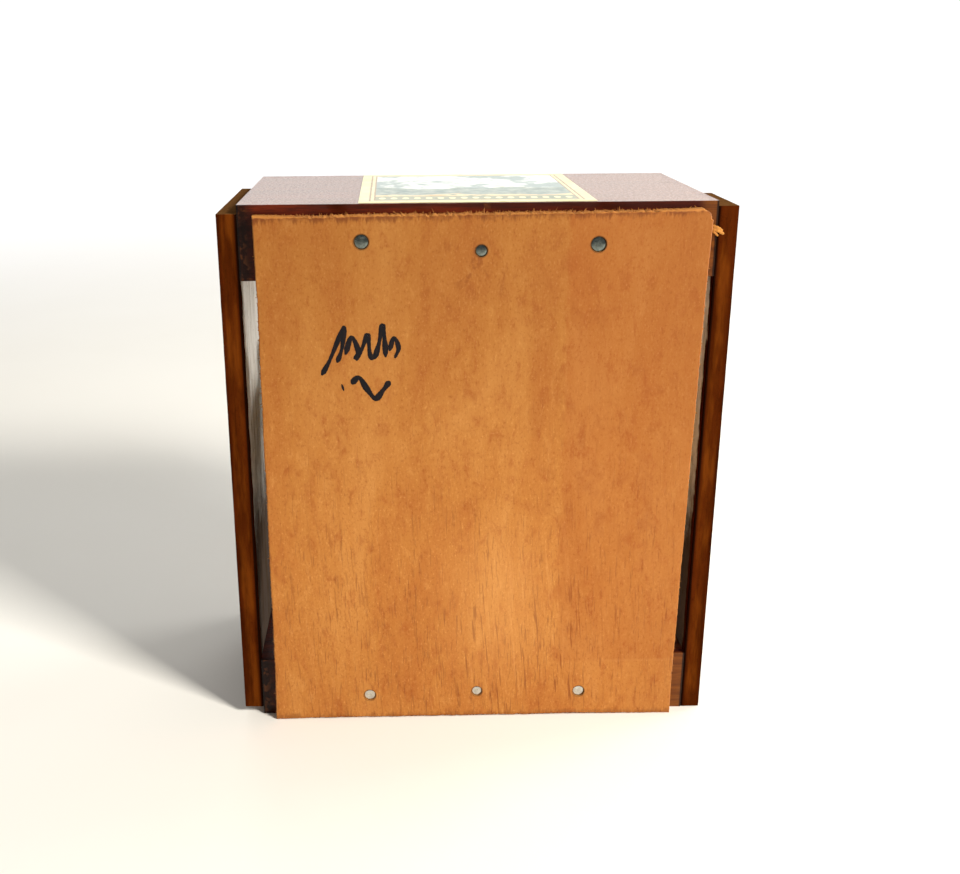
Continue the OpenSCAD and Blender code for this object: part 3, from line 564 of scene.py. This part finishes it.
def islands(node):
    """Lowest and highest corner of each separate solid in a CAD node."""
    mesh = welded(node)
    found, seen = [], set()
    for start in mesh.verts:
        if start in seen:
            continue
        seen.add(start)
        stack, group = [start], []
        while stack:
            vert = stack.pop()
            group.append(vert.co.copy())
            for edge in vert.link_edges:
                other = edge.other_vert(vert)
                if other not in seen:
                    seen.add(other)
                    stack.append(other)
        lo = Vector([min(p[i] for p in group) for i in range(3)])
        hi = Vector([max(p[i] for p in group) for i in range(3)])
        found.append((lo, hi))
    mesh.free()
    return sorted(found, key=lambda b: (round(b[0].z, 4), round(b[0].x, 4), round(b[0].y, 4)))


def piece(name, mesh, material, body, stands_for=(), smooth_deg=35):
    """Links a bmesh as an object that rides on a body."""
    data = bpy.data.meshes.new(name)
    mesh.to_mesh(data)
    mesh.free()
    data.materials.append(material)
    data.shade_smooth()
    data.set_sharp_from_angle(angle=math.radians(smooth_deg))
    made = bpy.data.objects.new(name, data)
    bpy.context.scene.collection.objects.link(made)
    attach(made, body)
    if stands_for:
        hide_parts(*stands_for)


def ease_edges(mesh, width, segments):
    """Rounds every edge where the faces turn by more than 32 degrees."""
    sharp = [e for e in mesh.edges if e.is_manifold and e.calc_face_angle(0) > math.radians(32)]
    bmesh.ops.bevel(mesh, geom=sharp, offset=width, segments=segments, profile=0.5,
                    affect="EDGES", clamp_overlap=True)


def slice_grid(mesh, cell):
    """Cuts every face along a grid of planes, so that a board can be worn."""
    lo = [min(v.co[i] for v in mesh.verts) for i in range(3)]
    hi = [max(v.co[i] for v in mesh.verts) for i in range(3)]
    for axis in range(3):
        count = int((hi[axis] - lo[axis]) / cell)
        for i in range(1, count + 1):
            across = Vector([float(k == axis) for k in range(3)])
            at = across * (lo[axis] + (hi[axis] - lo[axis]) * i / (count + 1))
            geom = mesh.verts[:] + mesh.edges[:] + mesh.faces[:]
            bmesh.ops.bisect_plane(mesh, geom=geom, plane_co=at, plane_no=across, dist=1e-7)


def wear(mesh, depth, size, seed):
    """Pushes the surface inwards in patches of about size: by up to half of depth, and by up to 1.6 times
    depth on edges and corners."""
    mesh.normal_update()
    offset = Vector((seed * 3.1, seed * 1.7, seed * 2.3))
    for vert in mesh.verts:
        amount = 0.5 + 0.5 * noise.noise(vert.co / size + offset)
        on_edge = any(f.normal.dot(vert.normal) < 0.9 for f in vert.link_faces)
        vert.co -= vert.normal * depth * (amount * (1.6 if on_edge else 0.5))


def finished(node, material, ease, segments=2, cell=None, depth=0.0, size=6.0):
    """A CAD node with eased edges, and for wooden parts a worn surface. Sizes are in millimetres."""
    mesh = welded(node)
    bmesh.ops.dissolve_limit(mesh, angle_limit=math.radians(0.6), verts=mesh.verts, edges=mesh.edges)
    ease_edges(mesh, ease * MM, segments)
    if cell:
        slice_grid(mesh, cell * MM)
        wear(mesh, depth * MM, size * MM, len(node))
    piece(node + "_finished", mesh, material, BODY_OF[node], [node])


def turned(mesh, centre, up, profile, sides):
    """Adds a turned shape: profile is (radius, height) from its foot to its top, in metres."""
    side = up.orthogonal().normalized()
    other = up.cross(side)
    rings = []
    for radius, height in profile:
        if radius == 0:
            rings.append([mesh.verts.new(centre + up * height)])
            continue
        ring = []
        for i in range(sides):
            a = 2 * math.pi * i / sides
            out = side * math.cos(a) + other * math.sin(a)
            ring.append(mesh.verts.new(centre + up * height + out * radius))
        rings.append(ring)
    for low, high in zip(rings, rings[1:]):
        for i in range(sides):
            k = (i + 1) % sides
            if len(high) == 1:
                mesh.faces.new((low[i], low[k], high[0]))
            elif len(low) == 1:
                mesh.faces.new((low[0], high[k], high[i]))
            else:
                mesh.faces.new((low[i], low[k], high[k], high[i]))


# ---------- case pieces

def nail_heads(node, axis):
    """Domed heads with a small rim and a pointed shank; axis points out of the wood. Returns each head's
    centre and radius."""
    shank, point, rim, rise = 1.0 * MM, 1.6 * MM, 0.28 * MM, 0.27 * MM
    rings = 8
    mesh, heads, out = bmesh.new(), [], Vector(axis)
    along = max(range(3), key=lambda i: abs(out[i]))
    for lo, hi in islands(node):
        centre = (lo + hi) / 2
        radius = (hi - lo)[(along + 1) % 3] / 2
        length = (hi - lo)[along]
        centre[along] = hi[along] if out[along] > 0 else lo[along]
        nail = [(0, -length), (shank * 0.4, point - length), (shank, 2 * point - length),
                (shank, -0.9 * MM), (radius * 0.96, -0.85 * MM), (radius, -0.7 * MM), (radius, -rim)]
        for k in range(1, rings + 1):
            angle = math.radians(90 * k / rings)
            reach = radius * math.cos(angle) ** 0.8 if k < rings else 0
            nail.append((reach, rise * math.sin(angle) - rim))
        turned(mesh, centre, out, nail, 40)
        heads.append((centre, radius))
    bmesh.ops.recalc_face_normals(mesh, faces=mesh.faces)
    piece(node + "_domed", mesh, LOOKS["nail_steel"], BODY_OF[node], [node], 50)
    return heads


RAGGED = {"low": 0.5, "right": 0.3, "corner": 0.5, "top": 0.75, "left": 0.3}  # how deeply each edge is torn


def panel_outline(step):
    """The panel's sawn outline: four unequal corners with torn, slightly wandering edges between them. Runs
    anticlockwise from the lower left, as x and z."""
    low_left, low_right, top_right, top_left = PANEL_CORNERS
    rise = (low_right - top_right).normalized() * CORNER
    run = (top_left - top_right).normalized() * CORNER
    runs = [("low", low_left, low_right), ("right", low_right, top_right + rise)]
    middle = top_right + rise + run
    turns = [math.radians(11.25 * k) for k in range(9)]
    arc = [middle - run * math.cos(a) - rise * math.sin(a) for a in turns]
    runs += [("corner", a, b) for a, b in zip(arc, arc[1:])]
    runs += [("top", top_right + run, top_left), ("left", top_left, low_left)]
    points = []
    for name, start, end in runs:
        inward = Vector((-(end - start).y, (end - start).x)).normalized()
        count = max(1, int((end - start).length / step))
        for i in range(count):
            at = start.lerp(end, i / count)
            slow = noise.noise(Vector((at.x, 0, at.y)) / (22 * MM) + Vector((4, 0, 1)))
            torn = abs(noise.noise(Vector((at.x, 3, at.y)) / (1.1 * MM)))
            fine = abs(noise.noise(Vector((at.x, 9, at.y)) / (0.45 * MM)))
            fade = min(1.0, 8 * min(i, count - i) / count) if name != "corner" else 1.0
            depth = fade * (0.25 * (slow + 1) + RAGGED[name] * torn + 0.25 * RAGGED[name] * fine)
            points.append(at + inward * depth * MM)
    return points


def edge_margin(at):
    """How far a point lies inside the panel's straight edges."""
    gaps = []
    for start, end in zip(PANEL_CORNERS, PANEL_CORNERS[1:] + PANEL_CORNERS[:1]):
        run = (end - start).normalized()
        gaps.append(run.x * (at - start).y - run.y * (at - start).x)
    return min(gaps)


def inset(points, distance):
    """A closed outline moved inwards."""
    made = []
    for i, point in enumerate(points):
        before, after = points[i - 3], points[(i + 3) % len(points)]
        run = (after - before).normalized()
        made.append(point + Vector((-run.y, run.x)) * distance)
    return made


def panel(nails):
    """The base panel: torn sawn edges, a slightly uneven face and a sunk hole round every nail head."""
    front, back = PANEL_LO.y + 0.06 * MM, PANEL_HI.y
    chamfer, cell = 0.3 * MM, 2.2 * MM
    hole_gap, hole_depth, sides = 0.12 * MM, 1.1 * MM, 36
    outline = panel_outline(0.42 * MM)
    face_line = inset(outline, chamfer)
    count = len(face_line)
    flat = list(face_line)
    fixed_edges = [(i, (i + 1) % count) for i in range(count)]
    for centre, radius in nails:
        start = len(flat)
        reach = radius + hole_gap
        for i in range(sides):
            a = 2 * math.pi * i / sides
            flat.append(Vector((centre.x + math.cos(a) * reach, centre.z + math.sin(a) * reach)))
        fixed_edges += [(start + i, start + (i + 1) % sides) for i in range(sides)]
    dice = random.Random(7)
    for i in range(int((PANEL_HI.x - PANEL_LO.x) / cell)):
        for k in range(int((PANEL_HI.z - PANEL_LO.z) / cell)):
            at = Vector((PANEL_LO.x + (i + 0.5 + dice.uniform(-0.2, 0.2)) * cell,
                         PANEL_LO.z + (k + 0.5 + dice.uniform(-0.2, 0.2)) * cell))
            off_nails = all((at - Vector((c.x, c.z))).length > r + 0.6 * MM for c, r in nails)
            off_corner = (at - PANEL_CORNERS[2]).length > CORNER + 0.5 * MM
            if edge_margin(at) > 2 * MM and off_nails and off_corner:
                flat.append(at)
    points, _, triangles, _, _, _ = geometry.delaunay_2d_cdt(flat, fixed_edges, [], 0, 1e-7)
    mesh = bmesh.new()

    def face_y(at):
        wave = noise.noise(Vector((at.x, 0, at.y)) / (26 * MM))
        wave += 0.4 * noise.noise(Vector((at.x * 4, 2, at.y)) / (9 * MM))
        return front + (0.5 + 0.5 * wave) * 0.07 * MM

    verts = [mesh.verts.new((p.x, face_y(p), p.y)) for p in points]
    rings = [set(range(count + n * sides, count + (n + 1) * sides)) for n in range(len(nails))]
    inside = point_in(face_line)
    for triangle in triangles:
        middle = sum((points[i] for i in triangle), Vector((0, 0))) / 3
        if not any(ring.issuperset(triangle) for ring in rings) and inside(middle):
            mesh.faces.new([verts[i] for i in triangle])
    rows = [verts[:count]]
    thick = back - front
    for depth, line in ((0.35 * MM, outline), (thick - chamfer, outline), (thick, face_line)):
        rows.append([mesh.verts.new((p.x, front + depth, p.y)) for p in line])
    for near, far in zip(rows, rows[1:]):
        for i in range(count):
            k = (i + 1) % count
            mesh.faces.new((near[i], near[k], far[k], far[i]))
    mesh.faces.new(rows[-1])
    for start in range(count, count + len(nails) * sides, sides):
        rim = verts[start:start + sides]
        floor = [mesh.verts.new((v.co.x, front + hole_depth, v.co.z)) for v in rim]
        for i in range(sides):
            k = (i + 1) % sides
            mesh.faces.new((rim[i], rim[k], floor[k], floor[i]))
        mesh.faces.new(floor)
    bmesh.ops.recalc_face_normals(mesh, faces=mesh.faces)
    piece("base_panel_sawn", mesh, LOOKS["pine_panel"], "case", ["base_panel"], 40)


def strand(mesh, path, radii, sides, flat=1.0):
    """A closed tapering strand of wood or ink along a path; flat squeezes it in y."""
    rings = []
    for i, (at, radius) in enumerate(zip(path, radii)):
        run = (path[min(i + 1, len(path) - 1)] - path[max(i - 1, 0)]).normalized()
        side = run.cross(Vector((0, 1, 0)))
        side = side.normalized() if side.length > 0.1 else Vector((1, 0, 0))
        other = run.cross(side)
        ring = []
        for k in range(sides):
            a = 2 * math.pi * k / sides
            swing = at + side * radius * math.cos(a)
            ring.append(mesh.verts.new(swing + other * radius * flat * math.sin(a)))
        rings.append(ring)
    for low, high in zip(rings, rings[1:]):
        for k in range(sides):
            j = (k + 1) % sides
            mesh.faces.new((low[k], low[j], high[j], high[k]))
    mesh.faces.new(rings[0][::-1])
    mesh.faces.new(rings[-1])


def curve_points(corners, steps):
    """A smooth Catmull-Rom line through the corners."""
    ends = [corners[0] * 2 - corners[1]] + corners + [corners[-1] * 2 - corners[-2]]
    made = []
    for i in range(1, len(ends) - 2):
        p0, p1, p2, p3 = ends[i - 1:i + 3]
        for k in range(steps):
            t = k / steps
            made.append(0.5 * (2 * p1 + (p2 - p0) * t + (2 * p0 - 5 * p1 + 4 * p2 - p3) * t * t
                               + (3 * p1 - p0 - 3 * p2 + p3) * t ** 3))
    return made + [corners[-1]]


def torn_fibres():
    """Loose fibres that the saw left standing along the panel's top and side edges."""
    dice = random.Random(11)
    mesh = bmesh.new()
    low_left, low_right, top_right, top_left = PANEL_CORNERS
    for edge, count in (("top", 900), ("right", 130), ("left", 90)):
        for _ in range(count):
            share = dice.random()
            y = dice.uniform(PANEL_LO.y + 0.25 * MM, PANEL_HI.y - 0.6 * MM)
            if edge == "top":
                at = top_left.lerp(top_right, 0.01 + 0.96 * share)
                base = Vector((at.x, y, at.y - 0.8 * MM))
                out = Vector((dice.uniform(-1.1, 1.1), dice.uniform(-0.3, 0.3), 1)).normalized()
                length = dice.uniform(0.5, 1.1) * MM * (1.7 if dice.random() < 0.08 else 1)
            else:
                side = -1 if edge == "left" else 1
                start, end = (low_left, top_left) if edge == "left" else (low_right, top_right)
                at = start.lerp(end, 0.04 + 0.9 * share)
                base = Vector((at.x - side * 0.5 * MM, y, at.y))
                out = Vector((0.5 * side, dice.uniform(-0.2, 0.2), dice.uniform(-1, 1))).normalized()
                length = dice.uniform(0.4, 1.0) * MM
            bend = Vector((dice.uniform(-0.4, 0.4), 0, dice.uniform(-0.3, 0.2))) * length
            thick = dice.uniform(0.07, 0.19) * MM
            path = [base + out * length * t + bend * t * t for t in (0, 0.35, 0.7, 1)]
            for at in path:
                at.y = max(at.y, CAD_BOX[0].y + 0.15 * MM)
            strand(mesh, path, [thick, thick * 0.9, thick * 0.6, thick * 0.15], 4)
    piece("panel_torn_fibres", mesh, LOOKS["fibre"], "case", (), 60)


def splinter():
    """A split strand of the panel's right edge, sprung out over the end board."""
    mesh = bmesh.new()
    edge, y = PANEL_HI.x - 0.3 * MM, (PANEL_LO.y + 3 * PANEL_HI.y) / 4
    for lift, out, thick in ((166.9, 3.9, 0.62), (166.0, 4.3, 0.7), (165.4, 2.6, 0.45)):
        places = ((-1.2, 0, lift + 0.3), (0.6, -0.2, lift), (out * 0.6, -0.5, lift - 0.5),
                  (out, -0.3, lift - 1.5))
        path = curve_points([Vector((edge + x * MM, y + dy * MM, z * MM)) for x, dy, z in places], 6)
        count = len(path)
        radii = [thick * MM * (1 - 0.35 * i / count + 0.12 * math.sin(i * 2.1 + lift)) for i in range(count)]
        radii[-1] *= 0.45
        strand(mesh, path, radii, 8, 0.8)
    piece("panel_splinter", mesh, LOOKS["splinter"], "case", (), 40)


def pen_strokes():
    """A few plain marker strokes on the panel, waves and a dot that spell nothing. Their corners and widths
    are in millimetres from the panel's lower left."""
    mesh = bmesh.new()
    y = PANEL_LO.y + 0.03 * MM

    def stroke(corners, width):
        path = curve_points([Vector((PANEL_LO.x + x * MM, y, PANEL_LO.z + z * MM)) for x, z in corners], 12)
        count = len(path)
        radii = []
        for i in range(count):
            tip = min(1.0, 0.35 + min(i, count - 1 - i) / 4)
            radii.append(width / 2 * MM * tip * (1 + 0.22 * math.sin(i * 0.35) + 0.06 * math.sin(i * 2.3)))
        strand(mesh, path, radii, 8, 0.02)

    crest, trough = 137.5, 126.5
    stroke([(19.5, 122.5), (22, 127), (25.5, 135), (26.8, crest), (26, 131), (24.4, trough)], 1.4)
    stroke([(27, 129), (29, 134.5), (31, 130), (30, trough + 1), (32.2, 131), (34, 135), (34.6, 129),
            (36, trough + 1)], 1.5)
    stroke([(36, 127.5), (37.4, 132.5), (38.6, crest + 0.5), (39.2, 133), (39.4, trough + 1.5)], 1.5)
    stroke([(40.6, 130), (42, 134.2), (43.4, 131), (42.2, trough + 1.2)], 1.3)
    stroke([(28.6, 119.6), (31, 121.6), (33.4, 118), (36, 114.8), (38.4, 117.4), (40.6, 120.4)], 1.7)
    stroke([(25.6, 118.4), (26.3, 118.6)], 1.9)
    piece("panel_pen_strokes", mesh, LOOKS["ink"], "case", (), 60)


def cylinder_pins():
    """Rows of fine bevelled pins, one row for each comb tooth, with the gaps of a tune between them."""
    joint = next(j for j in frame["joints"] if j["name"] == "cylinder_turn")
    middle = Vector(joint["pos_m"])
    lo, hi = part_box("cylinder_pins")
    top = max(hi.z - middle.z, middle.z - lo.z, hi.y - middle.y, middle.y - lo.y)
    tip = top - 0.01 * MM
    thick = 0.2 * MM
    tube_lo, tube_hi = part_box("cylinder_tube")
    root = (tube_hi.z - tube_lo.z) / 2 - 0.3 * MM
    pin = [(thick, root), (thick, top - 0.12 * MM), (thick * 0.6, tip), (0, tip)]
    tracks = sorted({round((a.x + b.x) / 2 / MM, 2) for a, b in islands("cylinder_pins")})
    turn_beats, tune_beats, notes = 48, 44, 15
    dice = random.Random(5)
    mesh = bmesh.new()
    for x in tracks:
        for beat in dice.sample(range(tune_beats), notes):
            a = 2 * math.pi * (beat + 0.12 * dice.random()) / turn_beats
            out = Vector((0, math.cos(a), math.sin(a)))
            turned(mesh, Vector((x * MM, middle.y, middle.z)), out, pin, 6)
    bmesh.ops.recalc_face_normals(mesh, faces=mesh.faces)
    piece("cylinder_pins_fine", mesh, LOOKS["polished_steel"], "cylinder",
          ["cylinder_pins"], 40)


def point_in(line):
    """A quick test for points inside a closed outline that keeps within 4 mm of its bounding box."""
    lo_x, hi_x = min(p.x for p in line), max(p.x for p in line)
    lo_z, hi_z = min(p.y for p in line), max(p.y for p in line)
    well_inside = 4 * MM

    def test(at):
        if not (lo_x < at.x < hi_x and lo_z < at.y < hi_z):
            return False
        if min(at.x - lo_x, hi_x - at.x, at.y - lo_z, hi_z - at.y) > well_inside:
            return True
        crossings = 0
        for a, b in zip(line, line[1:] + line[:1]):
            if (a.y > at.y) != (b.y > at.y) and at.x < a.x + (at.y - a.y) / (b.y - a.y) * (b.x - a.x):
                crossings += 1
        return crossings % 2 == 1
    return test


LOOKS = {}
BRASS, DULL_BRASS = (214, 178, 104), (150, 112, 60)
METALS = {  # tone, tarnish, grain, roughness, brushed, spotted
    "bed_brass": ((200, 164, 96), (136, 100, 54), "X", 0.34, 0.6, 0.4),
    "plate_brass": (BRASS, DULL_BRASS, "Y", 0.26),
    "wheel_brass": ((222, 188, 112), DULL_BRASS, "Y", 0.24),
    "cylinder_brass": ((224, 192, 118), (168, 130, 74), "X", 0.2, 0.3, 0.2),
    "comb_steel": ((186, 188, 192), (128, 124, 120), "Z", 0.3, 0.6, 0.3),
    "polished_steel": ((198, 198, 200), (140, 138, 136), "X", 0.2, 0.3, 0.2),
    "spring_steel": ((110, 118, 140), (84, 82, 92), "X", 0.3),
    "blued_steel": ((36, 44, 80), (42, 36, 58), "X", 0.24, 0.3, 0.2),
}


def main_looks():
    LOOKS["nail_steel"] = nail_look()
    LOOKS["stained_board"] = board_look("stained_board", "X", srgb(96, 32, 9), srgb(52, 13, 4),
                                        srgb(104, 58, 24))
    LOOKS["pull_wood"] = board_look("pull_wood", "Z", srgb(118, 54, 22), srgb(70, 26, 10), srgb(116, 72, 36))
    LOOKS["left_slat"] = slat_look("stained_slat_left", -1)
    LOOKS["right_slat"] = slat_look("stained_slat_right", 1)
    LOOKS["bare_rail"] = softwood_look("bare_rail", srgb(216, 180, 130), srgb(168, 124, 78))
    LOOKS["label_paper"] = label_look()
    LOOKS["lid_glass"] = glass_look()
    LOOKS["ink"] = ink_look()
    LOOKS["fibre"] = softwood_look("torn_fibre", srgb(196, 136, 70), srgb(150, 90, 38))
    LOOKS["splinter"] = softwood_look("splinter_wood", srgb(200, 138, 58), srgb(142, 84, 26))
    for name, (tone, stain, *settings) in METALS.items():
        LOOKS[name] = metal_look(name, srgb(*tone), srgb(*stain), *settings)
    LOOKS["lead"] = lead_look()
    LOOKS["jewel"] = gloss_look("jewel", srgb(168, 20, 36), srgb(110, 8, 24), 0.08)
    LOOKS["knob_black"] = gloss_look("knob_black", srgb(22, 20, 20), srgb(40, 34, 32), 0.22)


# How far the edges of each movement piece are eased, in millimetres.
EASE = {"bedplate": 0.4, "left_bridge": 0.3, "right_bridge": 0.3, "barrel_bridge": 0.3,
        "governor_plate": 0.25, "governor_cock": 0.25, "comb_base": 0.35, "comb": 0.06,
        "spring_barrel": 0.3, "barrel_cover": 0.25, "cylinder_tube": 0.12, "winding_lever": 0.25,
        "lever_nut": 0.2, "stop_lever": 0.15, "click": 0.12, "worm_foot": 0.15, "stop_post": 0.15,
        "jewel_cap": 0.2, "fan_blades": 0.05, "great_wheel": 0.08, "ratchet_wheel": 0.1,
        "cylinder_left_cap": 0.15, "cylinder_right_cap": 0.15}


def case_pieces():
    label_nails = nail_heads("label_end_base_nails", (0, -1, 0))
    rear_nails = nail_heads("rear_end_base_nails", (0, -1, 0))
    nail_heads("left_slat_nails", (-1, 0, 0))
    nail_heads("right_slat_nails", (1, 0, 0))
    base_nails = label_nails + rear_nails
    LOOKS["pine_panel"] = pine_look(base_nails)
    panel(base_nails)
    torn_fibres()
    splinter()
    pen_strokes()
    for node in ("label_end_board", "rear_end_board"):
        finished(node, LOOKS["stained_board"], 0.9, 3, 5, 0.16, 7)
    for node in ("left_slat", "right_slat"):
        finished(node, LOOKS[node], 0.5, 2, 4, 0.22, 5)
    for node in ("left_rail", "right_rail"):
        finished(node, LOOKS["bare_rail"], 0.5, 2, 5, 0.15, 6)
    finished("lid_pull", LOOKS["pull_wood"], 0.5, 3, 4, 0.08, 5)
    finished("glass_lid", LOOKS["lid_glass"], 0.3, 2)
    finished("paper_label", LOOKS["label_paper"], 0.03, 1)


def movement_pieces():
    cylinder_pins()
    for node, slot in SLOT_OF.items():
        if NODES[node].hide_render or slot in ("pine_panel", "stained_board"):
            continue
        if node in EASE:
            finished(node, LOOKS[slot], EASE[node])
            continue
        materials = NODES[node].data.materials
        materials.clear()
        materials.append(LOOKS[slot])


# ---------- stage

def add_camera():
    """Faces the base panel from above, a little left of its middle."""
    camera = bpy.data.objects.new("camera", bpy.data.cameras.new("camera"))
    camera.data.lens, camera.data.sensor_width = 42.93, 36
    camera.data.shift_x, camera.data.shift_y = 0.069, -0.0051
    yaw, tilt, roll = math.radians(1.02), math.radians(18.65), math.radians(-0.41)
    ahead = Vector((math.sin(yaw) * math.cos(tilt), math.cos(yaw) * math.cos(tilt), -math.sin(tilt)))
    level = Vector((math.cos(yaw), -math.sin(yaw), 0))
    right = level * math.cos(roll) + level.cross(ahead) * math.sin(roll)
    place = Vector((-26.0 * MM, FACE_Y - 345.9 * MM, 219.0 * MM))
    turn = Matrix((right, right.cross(ahead), -ahead)).transposed().to_4x4()
    camera.matrix_world = Matrix.Translation(place) @ turn
    camera.data.clip_start = 0.01
    bpy.context.scene.collection.objects.link(camera)
    bpy.context.scene.camera = camera


def area_light(name, place, size, power, colour=(1, 1, 1)):
    """A lamp that faces the middle of the case; place is measured from there."""
    lamp = bpy.data.lights.new(name, "AREA")
    lamp.shape = "RECTANGLE"
    lamp.size, lamp.size_y = size
    lamp.energy = power
    lamp.color = colour
    made = bpy.data.objects.new(name, lamp)
    middle = (CAD_BOX[0] + CAD_BOX[1]) / 2
    made.location = middle + Vector(place)
    made.rotation_euler = (made.location - middle).to_track_quat("Z", "Y").to_euler()
    bpy.context.scene.collection.objects.link(made)


def soft_world():
    """A pale studio, brightest behind the case and dimmer in front of it and overhead."""
    world = bpy.data.worlds.new("world")
    world.use_nodes = True
    nodes, links = world.node_tree.nodes, world.node_tree.links
    split = nodes.new("ShaderNodeSeparateXYZ")
    links.new(nodes.new("ShaderNodeTexCoord").outputs["Generated"], split.inputs[0])
    product = nodes.new("ShaderNodeMath")
    product.operation = "MULTIPLY"
    for place, (axis, numbers) in enumerate((("Y", SKY), ("Z", HIGH_SKY))):
        level = nodes.new("ShaderNodeMapRange")
        level.interpolation_type = "SMOOTHSTEP"
        links.new(split.outputs[axis], level.inputs[0])
        for i, number in enumerate(numbers):
            level.inputs[i + 1].default_value = number
        links.new(level.outputs[0], product.inputs[place])
    background = nodes["Background"]
    background.inputs["Color"].default_value = SKY_COLOUR
    links.new(product.outputs[0], background.inputs["Strength"])
    return world


def add_stage():
    ground = (0, 0, CAD_BOX[0].z)
    bpy.ops.mesh.primitive_circle_add(vertices=64, radius=40, fill_type="NGON", location=ground)
    floor = bpy.context.object
    floor.name = "floor"
    floor.data.materials.append(floor_look())
    bpy.context.scene.world = soft_world()
    area_light("key", (0.8, -0.75, 0.7), (0.3, 0.3), 25.5, (1, 0.97, 0.92))
    area_light("window", (0.2, 1.3, 0.75), (1.6, 0.9), 7)
    area_light("side", (1.1, 0.5, 0.1), (0.5, 0.5), 14)
    bpy.context.scene.view_settings.view_transform = "Standard"
    bpy.context.scene.view_settings.exposure = 0.0


main_looks()
add_camera()
case_pieces()
movement_pieces()
add_stage()
bpy.context.view_layer.update()
